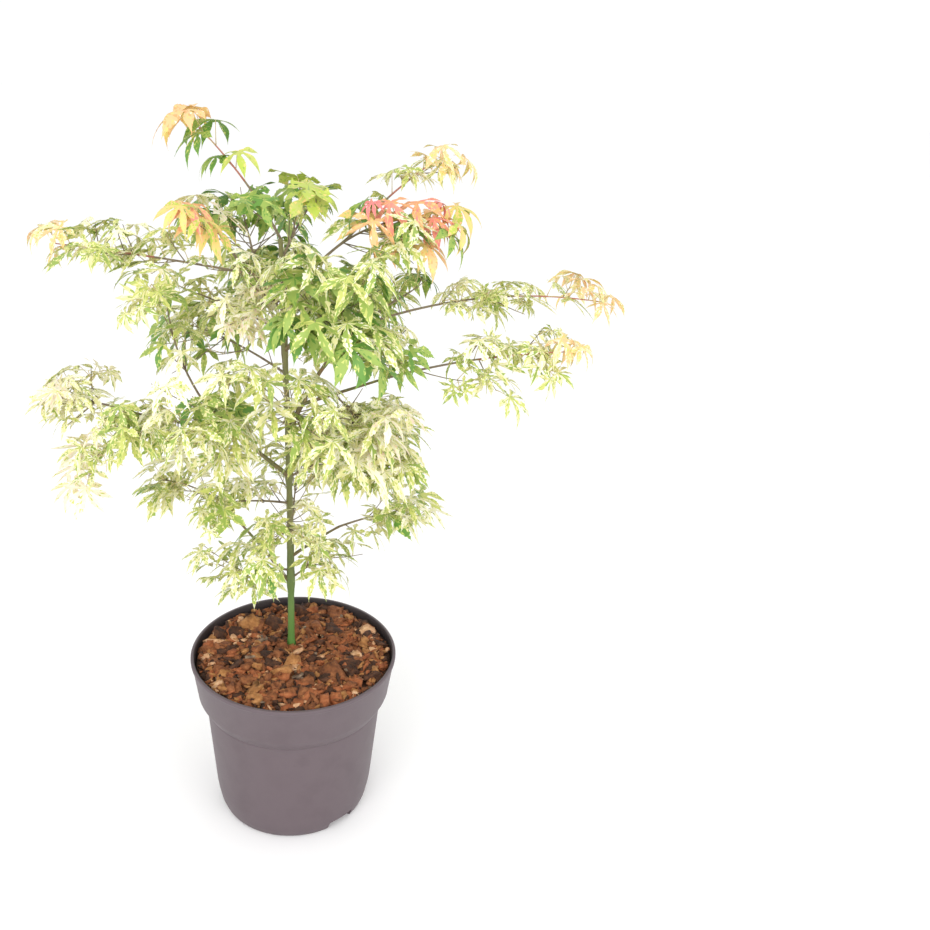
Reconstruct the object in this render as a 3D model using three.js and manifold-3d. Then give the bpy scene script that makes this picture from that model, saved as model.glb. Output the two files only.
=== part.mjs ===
// A young variegated Japanese maple, grown as a single stem in a round nursery pot topped with bark chips.
// Millimetres, +Z up. The origin is the centre of the pot's flat underside, and -Y faces the viewer.
import * as THREE from "three";
import { mergeVertices } from "three/addons/utils/BufferGeometryUtils.js";
import Module from "manifold-3d";

const wasm = await Module();
wasm.setup();

// The pot

const POT = {
  height: 165,
  rimRadius: 95,
  rimThickness: 3.2,
  lipHeight: 5,
  lipOverhang: 1.2,
  lipRound: 0.5,
  collarHeight: 39,
  collarFootRadius: 89,
  bodyTopRadius: 83, // where the body's slope would meet the collar's foot
  shoulderHeight: 12,
  bodyFootRadius: 71.5,
  baseRadius: 67.5,
  baseBevel: 2,
  cornerFlare: 1.5, // how far the corner above the bevel stands out from the base
  cornerHeight: 9,
  footWidth: 14,
  wall: 1.8,
  floor: 2.6,
  sides: 40,
};
const NOTCH = { count: 3, firstBearing: -44, width: 28, height: 6, innerRadius: 61 };

// The potting mix and the bark chips on it

const MIX = { edgeHeight: 153, crown: 8, clearance: 0.4 };
const CHIPS = {
  count: 30,
  smallest: 15,
  largest: 26,
  leastWidth: 0.5, // a chip's width and thickness are shares of its length
  mostWidth: 0.85,
  leastThickness: 0.28,
  mostThickness: 0.5,
  ragged: 0.55, // how far a corner is drawn in at most, as the share that is left of it
  tilt: 0.45,
  stir: 8, // degrees that a chip's bearing may stray from its even place
  deepest: -1, // how far the chips' middles lie above the mix
  highest: 1.6,
  edge: 12,
  trunkGap: 11,
  seed: 41,
};

// The stem, its boughs and the foliage. Heights are measured from the top of the mix, and bearings in degrees
// from +X towards +Y.

const CLEAR = 0.3; // the gap that separate pieces keep where they meet
const WELDS = [0.002, 0.01, 0.03, 0.06]; // steps of the grids that a solid's corners are moved to
const TRUNK = { x: -3, y: 14, leanX: -8, leanY: -14, height: 392, footRadius: 3.2, tipRadius: 1.6 };
const FLARE = { radius: 4.4, height: 14 };
const LIMB = { sides: 6, segments: 6 };
const STEM = { root: 2, tip: 1.3, segments: 4 };
const TWIG = { sides: 3, segments: 2, root: 0.95, tip: 0.85, rootOffset: 0.2 };
const SHOOT = { spread: 52, lift: 0.3, sag: 0.06, probes: [0.45, 0.75, 1], turn: 60 };
// The leaves at the end of a shoot and of a stem: two that open to its sides, and one that runs on
const SHOOT_LEAVES = [{ at: 0.96, spin: 0, spread: 55 }, { at: 0.86, spin: 180, spread: 55 }, { at: 0.76 }];
const STEM_LEAVES = [{ at: 0.98, spin: 10, spread: 48 }, { at: 0.955, spin: 190, spread: 48 }, { at: 0.93 }];
const PAIRS = {
  fewest: 3,
  first: 0.26, // the share of the stem below its first pair
  forkedSpacing: 1.2, // spacings in blade lengths
  bareSpacing: 0.95,
  bare: 0.2, // stems that fork over less of their length than this are bare
  spin: 25,
  stir: 20,
};
const SHOOT_LENGTH = { least: 0.55, most: 0.95, atRoot: 1.15, atTip: 0.55 }; // in blade lengths
const SEEDS = { twig: 1000, leaf: 5000, mass: 7919, place: 131, attempt: 17 };
const LEAF = {
  smallest: 0.8, // the shortest and the longest blade, as shares of the mass's own
  largest: 1.2,
  petiole: 0.52, // petiole length, as a share of the blade's length
  petioleRadius: 0.6,
  petioleRootRadius: 0.36,
  thickness: 1.3,
  centre: 0.14, // where the lobes meet, as a share of the blade's length from its base
  notch: 0.27, // how far the notches between the lobes lie from there
  curl: 0.16, // how far a lobe's tip hangs below the blade, as a share of the lobe
  leastDroop: 14,
  mostDroop: 62,
  roll: 30,
  turn: 60,
  tries: 26,
  probes: [0.5, 0.78, 1], // places on each lobe that have to lie in the mass's space
};
const FIVE_LOBES = [
  { angle: -104, length: 0.56 },
  { angle: -50, length: 0.86 },
  { angle: 0, length: 1 },
  { angle: 50, length: 0.86 },
  { angle: 104, length: 0.56 },
];
const THREE_LOBES = [
  { angle: -66, length: 0.78 },
  { angle: 0, length: 1 },
  { angle: 66, length: 0.78 },
];
const JOIN_FACES = 44; // a leaf that adds more faces than this to its own cuts through other leaves
const SMALL_LEAF = 35; // blades shorter than this have three lobes
const SPACE = { leaves: 1.55, margin: 2, limbGap: 1.6, lowest: 173, leafGap: 0.62 };

// A table's entries as a list, each with its key as its name
function named(table) {
  return Object.entries(table).map(([name, entry]) => ({ name, ...entry }));
}

// Each bough starts on another limb, at a height on the trunk or at a share of a bough's length. It runs for
// reach outwards and rise upwards, and arch lifts its middle square to the line from end to end.
const BOUGHS = named({
  right: { from: "trunk", at: 216, bearing: -10, reach: 60, rise: 106, arch: 15, root: 2.7, tip: 1.6 },
  right_low: { from: "right", at: 0.28, bearing: -23, reach: 74, rise: 35, root: 1.9, tip: 1.3 },
  left: { from: "trunk", at: 179, bearing: -164, reach: 62, rise: 61, root: 2.4, tip: 1.5 },
  left_long: { from: "left", at: 0.86, bearing: 172, reach: 84, rise: 10, arch: -5, root: 1.6, tip: 1.2 },
  left_high: { from: "trunk", at: 343, bearing: 180, reach: 36, rise: 31, root: 1.6, tip: 1.3 },
  top_right: { from: "trunk", at: 339, bearing: 10, reach: 52, rise: 52, arch: 5, root: 1.7, tip: 1.3 },
  low_left: { from: "trunk", at: 67, bearing: -172, reach: 52, rise: 77, arch: 3, root: 1.9, tip: 1.3 },
  low_right: { from: "trunk", at: 96, bearing: -12, reach: 44, rise: 36, arch: 2, root: 1.8, tip: 1.3 },
  front: { from: "trunk", at: 203, bearing: -84, reach: 52, rise: 54, arch: 6, root: 2.0, tip: 1.4 },
  back: { from: "trunk", at: 233, bearing: 96, reach: 58, rise: 62, arch: 8, root: 2.1, tip: 1.4 },
  front_high: { from: "trunk", at: 297, bearing: -62, reach: 46, rise: 34, arch: 4, root: 1.7, tip: 1.3 },
  back_high: { from: "trunk", at: 315, bearing: 118, reach: 52, rise: 42, arch: 5, root: 1.7, tip: 1.3 },
});

// Each mass of foliage grows from one stem, which is placed like a bough. leaf is a blade's length, and forks
// is the share of the stem along which its shoots branch before they bear leaves.
const MASSES = named({
  leader: { from: "trunk", at: 392, bearing: 180, reach: 60, rise: 82, arch: 8, leaf: 36 },
  crown: { from: "trunk", at: 374, bearing: 14, reach: 30, rise: 54, arch: 4, leaf: 36 },
  top_right: { from: "top_right", at: 1, bearing: 5, reach: 70, rise: 64, arch: 6, leaf: 27 },
  gold_right: { from: "top_right", at: 0.62, bearing: -12, reach: 88, rise: 42, arch: 20, leaf: 44 },
  pink_left: { from: "left_high", at: 1, bearing: -172, reach: 26, rise: 34, arch: 3, leaf: 40 },
  far_left: { from: "left_high", at: 0.6, bearing: 173, reach: 160, rise: 16, arch: 3, leaf: 30 },
  left_upright: { from: "left", at: 1, bearing: 180, reach: 36, rise: 116, arch: -20, leaf: 36, forks: 0.4 },
  left_middle: { from: "left_long", at: 0.45, bearing: -128, reach: 44, rise: 22, leaf: 34, forks: 0.6 },
  left_tip: { from: "left_long", at: 1, bearing: 172, reach: 54, rise: 8, arch: 4, leaf: 32, forks: 0.6 },
  left_hanging: { from: "left_long", at: 0.9, bearing: -170, reach: 42, rise: -56, arch: 8, leaf: 30 },
  right_long: { from: "right", at: 1, bearing: 6, reach: 213, rise: 18, arch: 28, leaf: 30, forks: 0.1 },
  right_low: { from: "right_low", at: 1, bearing: -7, reach: 152, rise: 32, arch: 10, leaf: 31, forks: 0.15 },
  low_left: { from: "low_left", at: 1, bearing: 180, reach: 58, rise: 34, arch: 14, leaf: 34, forks: 0.6 },
  foot_left: { from: "trunk", at: 82, bearing: -160, reach: 48, rise: 8, arch: 6, leaf: 34, forks: 0.7 },
  low_right: { from: "low_right", at: 1, bearing: 0, reach: 66, rise: 18, arch: 4, leaf: 34, forks: 0.6 },
  foot_right: { from: "trunk", at: 73, bearing: -18, reach: 36, rise: 30, arch: 3, leaf: 34, forks: 0.7 },
  mid_right: { from: "trunk", at: 178, bearing: -14, reach: 76, rise: 44, arch: 4, leaf: 38, forks: 0.7 },
  mid_left: { from: "trunk", at: 152, bearing: -146, reach: 68, rise: 20, arch: 4, leaf: 34.5, forks: 0.7 },
  front: { from: "front", at: 1, bearing: -92, reach: 52, rise: 22, arch: 6, leaf: 42, forks: 0.7 },
  front_high: { from: "front_high", at: 1, bearing: -78, reach: 54, rise: 20, arch: 8, leaf: 44, forks: 0.7 },
  back: { from: "back", at: 1, bearing: 98, reach: 70, rise: 34, arch: 8, leaf: 42, forks: 0.7 },
  back_high: { from: "back_high", at: 1, bearing: 104, reach: 62, rise: 38, arch: 8, leaf: 44, forks: 0.7 },
  front_left: { from: "left", at: 0.75, bearing: -97, reach: 66, rise: 42, arch: 8, leaf: 39, forks: 0.5 },
  back_left: { from: "back", at: 0.5, bearing: 152, reach: 92, rise: 28, arch: 8, leaf: 40, forks: 0.7 },
  back_right: { from: "back", at: 0.72, bearing: 40, reach: 84, rise: 30, arch: 8, leaf: 40, forks: 0.7 },
  front_right: { from: "right_low", at: 0.4, bearing: -72, reach: 56, rise: 0, leaf: 40, forks: 0.7 },
  right_middle: { from: "right", at: 0.66, bearing: -40, reach: 64, rise: 20, arch: 8, leaf: 36, forks: 0.5 },
  back_low: { from: "trunk", at: 110, bearing: 84, reach: 66, rise: 52, arch: 6, leaf: 36, forks: 0.7 },
  front_low: { from: "trunk", at: 126, bearing: -96, reach: 58, rise: 26, arch: 6, leaf: 34, forks: 0.7 },
  high_left: { from: "trunk", at: 312, bearing: 166, reach: 84, rise: 30, arch: 6, leaf: 34.5, forks: 0.7 },
  high_right: { from: "right", at: 0.84, bearing: 20, reach: 66, rise: 42, arch: 6, leaf: 34, forks: 0.6 },
  high_front: { from: "trunk", at: 330, bearing: -106, reach: 46, rise: 24, arch: 5, leaf: 34, forks: 0.7 },
});

const COLOURS = {
  pot: { color: 0x8d8189, roughness: 0.55, metalness: 0 },
  mix: { color: 0x6f4128, roughness: 0.95, metalness: 0 },
  stem: { color: 0x5f8a3c, roughness: 0.6, metalness: 0 },
  bough: { color: 0x6b5a3c, roughness: 0.6, metalness: 0 },
  leaves: { color: 0xc3d08c, roughness: 0.6, metalness: 0 },
};

const UP = new THREE.Vector3(0, 0, 1);
const radians = THREE.MathUtils.degToRad;
const mixTop = MIX.edgeHeight + MIX.crown;

// A repeatable stream of numbers from 0 to 1
function randomStream(seed) {
  const modulus = 2147483647;
  let state = (seed % (modulus - 1)) + 1;
  const next = () => {
    state = (state * 16807) % modulus;
    return (state - 1) / (modulus - 1);
  };
  for (let i = 0; i < 4; i += 1) next();
  return next;
}

function between(random, low, high) {
  return low + (high - low) * random();
}

// Solids and booleans

// The geometry with its corners moved to the nearest step of a grid, and those that then meet made one
function welded(geometry, step) {
  const bare = geometry.clone();
  bare.deleteAttribute("normal");
  bare.deleteAttribute("uv");
  const position = bare.attributes.position;
  for (let i = 0; i < position.array.length; i += 1) {
    position.array[i] = Math.round(position.array[i] / step) * step;
  }
  const merged = mergeVertices(bare, step / 4);
  const index = merged.index.array;
  const kept = [];
  for (let i = 0; i < index.length; i += 3) {
    const [a, b, c] = index.subarray(i, i + 3);
    if (a !== b && b !== c && c !== a) kept.push(a, b, c);
  }
  merged.setIndex(kept);
  return merged;
}

// True if every edge has two faces, as on a closed body
function isClosed(geometry) {
  const index = geometry.index.array;
  const counts = new Map();
  for (let i = 0; i < index.length; i += 1) {
    const next = i % 3 === 2 ? i - 2 : i + 1;
    const edge = [index[i], index[next]].sort((a, b) => a - b).join();
    counts.set(edge, (counts.get(edge) ?? 0) + 1);
  }
  return [...counts.values()].every((count) => count === 2);
}

function solidOf(geometry, step = WELDS[0]) {
  const merged = welded(geometry, step);
  return new wasm.Manifold(
    new wasm.Mesh({
      numProp: 3,
      vertProperties: merged.attributes.position.array,
      triVerts: new Uint32Array(merged.index.array),
    }),
  );
}

function geometryOf(solid) {
  const mesh = solid.getMesh();
  const geometry = new THREE.BufferGeometry();
  geometry.setAttribute("position", new THREE.BufferAttribute(mesh.vertProperties, 3));
  geometry.setIndex(new THREE.BufferAttribute(mesh.triVerts, 1));
  return geometry;
}

function largest(bodies) {
  return bodies.reduce((best, body) => (body.volume() > best.volume() ? body : best));
}

// The largest of a solid's bodies, so that scraps are dropped, on the finest grid that leaves it closed. It
// is null where no grid does.
function closedBody(solid) {
  for (const step of WELDS) {
    const body = largest(solidOf(geometryOf(solid), step).decompose());
    if (isClosed(welded(geometryOf(body), WELDS[0]))) return body;
  }
  return null;
}

function joined(solids) {
  return solids.reduce((whole, next) => whole.add(next));
}

// Limbs

// The curve of a limb that leaves start on a bearing
function limbCurve(start, { bearing, reach, rise, arch = 0 }) {
  const heading = new THREE.Vector3(Math.cos(radians(bearing)), Math.sin(radians(bearing)), 0);
  const length = Math.hypot(reach, rise);
  const end = start.clone().addScaledVector(heading, reach).addScaledVector(UP, rise);
  const middle = start
    .clone()
    .lerp(end, 0.5)
    .addScaledVector(heading, (-arch * rise) / length)
    .addScaledVector(UP, (arch * reach) / length);
  return new THREE.QuadraticBezierCurve3(start, middle, end);
}

// A tube along a curve, with flat ends square to it and its radius at each share of the length from radiusAt
function taperedTube(curve, radiusAt, sides, segments) {
  const tube = new THREE.CylinderGeometry(1, 1, 1, sides, segments);
  const position = tube.attributes.position;
  for (let i = 0; i < position.count; i += 1) {
    const t = position.getY(i) + 0.5;
    const radius = radiusAt(t);
    const { side, over } = crossAxes(curve.getTangent(t));
    const place = curve
      .getPoint(t)
      .addScaledVector(side, position.getX(i) * radius)
      .addScaledVector(over, position.getZ(i) * radius);
    position.setXYZ(i, place.x, place.y, place.z);
  }
  return solidOf(tube);
}

// Two directions square to a limb: side is level, and over points up from it
function crossAxes(tangent) {
  const side = new THREE.Vector3().crossVectors(tangent, UP);
  if (side.lengthSq() < 1e-4) side.set(0, -1, 0);
  side.normalize();
  const over = new THREE.Vector3().crossVectors(side, tangent).normalize();
  return { side, over };
}

// The radius at a share of a limb's length, as it tapers evenly from its root to its tip
function taper(root, tip) {
  return (t) => root + (tip - root) * t;
}

function trunkRadius(t) {
  const plain = taper(TRUNK.footRadius, TRUNK.tipRadius)(t);
  const low = Math.max(0, 1 - (t * TRUNK.height) / FLARE.height);
  return plain + (FLARE.radius - TRUNK.footRadius) * low * low;
}

const trunkCurve = new THREE.QuadraticBezierCurve3(
  new THREE.Vector3(TRUNK.x, TRUNK.y, mixTop + CLEAR),
  new THREE.Vector3(TRUNK.x, TRUNK.y, mixTop + CLEAR + TRUNK.height / 2),
  new THREE.Vector3(TRUNK.x + TRUNK.leanX, TRUNK.y + TRUNK.leanY, mixTop + CLEAR + TRUNK.height),
);

// limbs holds each limb's curve and its radius at a share of its length
const limbs = new Map();
limbs.set("trunk", { curve: trunkCurve, radiusAt: trunkRadius });

function shareOf(spec) {
  return spec.from === "trunk" ? spec.at / TRUNK.height : spec.at;
}

for (const spec of BOUGHS) {
  const start = limbs.get(spec.from).curve.getPoint(shareOf(spec));
  limbs.set(spec.name, { curve: limbCurve(start, spec), radiusAt: taper(spec.root, spec.tip) });
}

// A stem's curve starts on its limb's line, or clear of the limb's end
function stemCurve(spec) {
  const { curve } = limbs.get(spec.from);
  const share = shareOf(spec);
  const start = curve.getPoint(share);
  if (share === 1) start.addScaledVector(curve.getTangent(1), CLEAR);
  return limbCurve(start, spec);
}

const stems = MASSES.map(stemCurve);

// A curve as short straight lines, for measuring how far a place is from it
function linesOf(curve, radiusAt, pieces) {
  return Array.from({ length: pieces }, (_, i) => {
    const line = new THREE.Line3(curve.getPoint(i / pieces), curve.getPoint((i + 1) / pieces));
    return { line, radius: Math.max(radiusAt(i / pieces), radiusAt((i + 1) / pieces)) };
  });
}

const nearest = new THREE.Vector3();
function distanceTo(place, lines) {
  let least = Infinity;
  for (const { line, radius } of lines) {
    line.closestPointToPoint(place, true, nearest);
    least = Math.min(least, nearest.distanceTo(place) - radius);
  }
  return least;
}

const stemLines = stems.map((curve) => linesOf(curve, () => 0, 8));
const limbLines = [...limbs.values()].flatMap(({ curve, radiusAt }) => linesOf(curve, radiusAt, 8));

// How far a mass's space reaches to each side of its stem
function spaceRadius(mass) {
  return MASSES[mass].leaf * SPACE.leaves;
}

// True if all places are in a mass's own space: nearer to its stem than to any other, clear of the limbs and
// above the pot
function inSpace(places, mass) {
  return places.every((place) => {
    const own = distanceTo(place, stemLines[mass]);
    if (own > spaceRadius(mass) || place.z < SPACE.lowest) return false;
    if (distanceTo(place, limbLines) < SPACE.limbGap) return false;
    return stemLines.every((lines, other) => other === mass || own + SPACE.margin < distanceTo(place, lines));
  });
}

// Leaves

// Where a leaf's base is, and the directions along, across and square to its blade
function leafFrame(root, direction, length, random) {
  const rising = direction.clone().addScaledVector(UP, between(random, 0.1, 0.7)).normalize();
  const base = root.clone().addScaledVector(rising, length * LEAF.petiole);
  const turn = radians(between(random, -LEAF.turn, LEAF.turn));
  const heading = new THREE.Vector3(direction.x, direction.y, 0);
  if (heading.lengthSq() < 1e-4) heading.set(1, 0, 0);
  heading.normalize().applyAxisAngle(UP, turn);
  const droop = radians(between(random, LEAF.leastDroop, LEAF.mostDroop));
  const along = heading.clone().multiplyScalar(Math.cos(droop)).addScaledVector(UP, -Math.sin(droop));
  const square = heading.clone().multiplyScalar(Math.sin(droop)).addScaledVector(UP, Math.cos(droop));
  square.applyAxisAngle(along, radians(between(random, -LEAF.roll, LEAF.roll)));
  const across = new THREE.Vector3().crossVectors(square, along);
  return { root, base, along, across, square, length };
}

// A place on a blade, from its angle and distance round the point where the lobes meet, and its drop below it
function onBlade({ base, along, across, square, length }, angle, distance, drop) {
  return base
    .clone()
    .addScaledVector(along, length * (LEAF.centre + distance * Math.cos(radians(angle))))
    .addScaledVector(across, length * distance * Math.sin(radians(angle)))
    .addScaledVector(square, -length * drop);
}

function leafOutline(leaf) {
  const lobes = leaf.length < SMALL_LEAF ? THREE_LOBES : FIVE_LOBES;
  const outline = [];
  lobes.forEach(({ angle, length }, i) => {
    const reach = length * (1 - LEAF.centre);
    outline.push(onBlade(leaf, angle, reach, LEAF.curl * length));
    if (i < lobes.length - 1) outline.push(onBlade(leaf, (angle + lobes[i + 1].angle) / 2, LEAF.notch, 0));
  });
  return outline;
}

// The places that have to lie in the mass's space for the leaf to be kept
function leafProbes(leaf) {
  const centre = onBlade(leaf, 0, 0, 0);
  const along = (tip) => LEAF.probes.map((share) => centre.clone().lerp(tip, share));
  const onLobes = leafOutline(leaf).flatMap(along);
  return [leaf.root.clone().lerp(leaf.base, 0.6), leaf.base, centre, ...onLobes];
}

// A thin closed blade that is thickest where its lobes meet, with a three-sided petiole
function leafSolid(leaf) {
  const { root, base, along, across, square, length } = leaf;
  const wide = LEAF.petioleRadius;
  const outline = leafOutline(leaf);
  const centre = onBlade(leaf, 0, 0, 0);
  const top = centre.clone().addScaledVector(square, LEAF.thickness / 2);
  const under = centre.clone().addScaledVector(square, -LEAF.thickness / 2);
  const stalk = base.clone().sub(root).normalize();
  const stalkSide = new THREE.Vector3().crossVectors(square, stalk).normalize();
  const stalkTop = new THREE.Vector3().crossVectors(stalk, stalkSide).normalize();
  const corners = (end, side, over, radius) => ({
    left: end.clone().addScaledVector(side, radius),
    right: end.clone().addScaledVector(side, -radius),
    over: end.clone().addScaledVector(over, radius),
  });
  const blade = corners(base.clone().addScaledVector(along, -wide), across, square, wide);
  const twig = corners(root, stalkSide, stalkTop, LEAF.petioleRootRadius);
  const ring = [...outline, blade.left];
  const points = [top, under, blade.over, blade.right, ...ring, twig.left, twig.right, twig.over];
  const [TOP, UNDER, OVER, RIGHT] = [0, 1, 2, 3];
  const first = 4;
  const last = first + ring.length - 1;
  const [twigLeft, twigRight, twigOver] = [last + 1, last + 2, last + 3];
  const faces = [];
  for (let i = first; i < last; i += 1) faces.push([TOP, i, i + 1], [UNDER, i + 1, i]);
  faces.push([TOP, RIGHT, first], [UNDER, first, RIGHT]);
  faces.push([TOP, last, OVER], [TOP, OVER, RIGHT], [UNDER, RIGHT, last]);
  faces.push([OVER, last, twigLeft], [OVER, twigLeft, twigOver]);
  faces.push([RIGHT, OVER, twigOver], [RIGHT, twigOver, twigRight]);
  faces.push([last, RIGHT, twigRight], [last, twigRight, twigLeft]);
  faces.push([twigLeft, twigRight, twigOver]);
  const geometry = new THREE.BufferGeometry().setFromPoints(points);
  geometry.setIndex(faces.flat());
  return solidOf(geometry);
}

// Growth of one mass of foliage

// The direction of one shoot of an opposite pair, turned round the stem by spin degrees
function pairDirection(tangent, spin, spread) {
  const { side, over } = crossAxes(tangent);
  const outward = side.multiplyScalar(Math.cos(radians(spin))).addScaledVector(over, Math.sin(radians(spin)));
  return tangent
    .clone()
    .multiplyScalar(Math.cos(radians(spread)))
    .addScaledVector(outward, Math.sin(radians(spread)))
    .addScaledVector(UP, SHOOT.lift)
    .normalize();
}

// The first of a few poses of a leaf that stays in its mass's space and off the leaves before it, or null
function tryLeaf(mass, leaves, root, direction, place) {
  for (let attempt = 0; attempt < LEAF.tries; attempt += 1) {
    const seed = SEEDS.leaf + SEEDS.mass * mass + SEEDS.place * place + SEEDS.attempt * attempt;
    const random = randomStream(seed);
    const length = MASSES[mass].leaf * between(random, LEAF.smallest, LEAF.largest);
    const leaf = leafFrame(root, direction, length, random);
    leaf.middle = onBlade(leaf, 0, 0.3, 0.03);
    const crowded = leaves.some((other) => other.middle.distanceTo(leaf.middle) < length * SPACE.leafGap);
    if (!crowded && inSpace(leafProbes(leaf), mass)) return leaf;
  }
  return null;
}

// The twigs and leaves of a mass. Opposite pairs leave its stem: twigs with three leaves, or single leaves.
function growMass(mass) {
  const { leaf, forks = 0 } = MASSES[mass];
  const stem = stems[mass];
  const random = randomStream(SEEDS.twig + SEEDS.mass * mass);
  const spacing = leaf * (forks < PAIRS.bare ? PAIRS.bareSpacing : PAIRS.forkedSpacing);
  const pairs = Math.max(PAIRS.fewest, Math.round(stem.getLength() / spacing));
  const twigs = [];
  const leaves = [];
  let places = 0;
  const addLeaf = (curve, share, direction) => {
    const root = curve.getPoint(share).addScaledVector(direction, TWIG.rootOffset);
    const grown = tryLeaf(mass, leaves, root, direction, places);
    if (grown) leaves.push(grown);
    places += 1;
  };
  const addEnd = (curve, ends, turn) => {
    ends.forEach(({ at, spin, spread }) => {
      const tangent = curve.getTangent(1);
      addLeaf(curve, at, spread ? pairDirection(tangent, spin + turn, spread) : tangent);
    });
  };
  for (let pair = 0; pair < pairs; pair += 1) {
    const share = PAIRS.first + ((1 - PAIRS.first) * (pair + 0.6)) / (pairs + 0.4);
    const spin = PAIRS.spin + 90 * (pair % 2) + between(random, -PAIRS.stir, PAIRS.stir);
    for (const half of [0, 180]) {
      const direction = pairDirection(stem.getTangent(share), spin + half, SHOOT.spread);
      const { least, most, atRoot, atTip } = SHOOT_LENGTH;
      const length = leaf * between(random, least, most) * (atRoot + (atTip - atRoot) * share);
      const twig = twigCurve(stem.getPoint(share), direction, length);
      const probes = SHOOT.probes.map((t) => twig.getPoint(t));
      if (share < forks && inSpace(probes, mass)) {
        twigs.push(twig);
        addEnd(twig, SHOOT_LEAVES, between(random, 0, SHOOT.turn));
      } else {
        addLeaf(stem, share, direction);
      }
    }
  }
  addEnd(stem, STEM_LEAVES, 0);
  return { twigs, leaves };
}

// A twig that leaves start and sags a little on its way
function twigCurve(start, direction, length) {
  return new THREE.QuadraticBezierCurve3(
    start.clone().addScaledVector(direction, TWIG.rootOffset),
    start.clone().addScaledVector(direction, length / 2).addScaledVector(UP, -SHOOT.sag * length),
    start.clone().addScaledVector(direction, length),
  );
}

// A mass as one solid, cut clear of the limbs, without the leaves that cut through others or whose join isn't
// closed
function massSolid(mass, grownLimbs) {
  const { twigs, leaves } = growMass(mass);
  const stem = taperedTube(stems[mass], taper(STEM.root, STEM.tip), TWIG.sides, STEM.segments);
  const tubes = twigs.map((twig) => taperedTube(twig, taper(TWIG.root, TWIG.tip), TWIG.sides, TWIG.segments));
  let whole = closedBody(joined([stem, ...tubes]).subtract(grownLimbs));
  for (const leaf of leaves) {
    const blade = leafSolid(leaf);
    const next = closedBody(whole.add(blade));
    if (next && next.numTri() < whole.numTri() + blade.numTri() + JOIN_FACES) whole = next;
  }
  return whole;
}

// The pot and what fills it

function lathe(outline, sides) {
  const points = outline.map(([radius, height]) => new THREE.Vector2(radius, height));
  return solidOf(new THREE.LatheGeometry(points, sides).rotateX(Math.PI / 2));
}

// The radius of the pot's outer face at a height on its body
function bodyRadius(height) {
  const top = POT.height - POT.collarHeight;
  const share = (height - POT.cornerHeight) / (top - POT.cornerHeight);
  return POT.bodyFootRadius + (POT.bodyTopRadius - POT.bodyFootRadius) * share;
}

// The points of the inner face, from the centre of the floor to the collar's foot, moved in by a clearance
function innerOutline(clearance) {
  const top = POT.height - POT.collarHeight;
  const shoulder = top - POT.shoulderHeight;
  const inset = POT.wall + clearance;
  return [
    [0, POT.floor + clearance],
    [POT.baseRadius - POT.footWidth - clearance, POT.floor + clearance],
    [bodyRadius(POT.footWidth) - inset, POT.footWidth + clearance],
    [bodyRadius(shoulder) - inset, shoulder + clearance],
    [POT.collarFootRadius - inset, top + clearance],
  ];
}

function potSolid() {
  const top = POT.height - POT.collarHeight;
  const shoulder = top - POT.shoulderHeight;
  const rimInner = POT.rimRadius - POT.rimThickness;
  const outer = [
    [0, 0],
    [POT.baseRadius - POT.baseBevel, 0],
    [POT.baseRadius + POT.cornerFlare, POT.baseBevel],
    [bodyRadius(POT.cornerHeight), POT.cornerHeight],
    [bodyRadius(shoulder), shoulder],
    [POT.collarFootRadius, top],
    [POT.rimRadius - POT.lipOverhang, POT.height - POT.lipHeight],
    [POT.rimRadius, POT.height - POT.lipHeight + POT.lipOverhang],
    [POT.rimRadius - POT.lipRound, POT.height],
    [rimInner, POT.height],
  ];
  const pot = lathe([...outer, ...innerOutline(0).reverse()], POT.sides);
  const notches = Array.from({ length: NOTCH.count }, (_, i) => {
    const box = new THREE.BoxGeometry(POT.footWidth, NOTCH.width, NOTCH.height * 2);
    box.translate(NOTCH.innerRadius + POT.footWidth / 2, 0, 0);
    box.rotateZ(radians(NOTCH.firstBearing + (360 / NOTCH.count) * i));
    return solidOf(box);
  });
  return notches.reduce((whole, notch) => whole.subtract(notch), pot);
}

// How high the potting mix stands at a distance from the pot's axis
function mixHeight(radius) {
  const share = radius / POT.collarFootRadius;
  return MIX.edgeHeight + MIX.crown * (1 - share * share);
}

// A rough block with its corners moved about
function chipGeometry(random) {
  const length = between(random, CHIPS.smallest, CHIPS.largest);
  const width = length * between(random, CHIPS.leastWidth, CHIPS.mostWidth);
  const thickness = length * between(random, CHIPS.leastThickness, CHIPS.mostThickness);
  const merged = welded(new THREE.BoxGeometry(length, width, thickness), WELDS[0]);
  const position = merged.attributes.position;
  for (let i = 0; i < position.count; i += 1) {
    position.setX(i, position.getX(i) * between(random, CHIPS.ragged, 1));
    position.setY(i, position.getY(i) * between(random, CHIPS.ragged, 1));
    position.setZ(i, position.getZ(i) * between(random, CHIPS.ragged, 1));
  }
  merged.rotateX(between(random, -CHIPS.tilt, CHIPS.tilt));
  merged.rotateY(between(random, -CHIPS.tilt, CHIPS.tilt));
  merged.rotateZ(between(random, 0, 2 * Math.PI));
  return merged;
}

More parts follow.
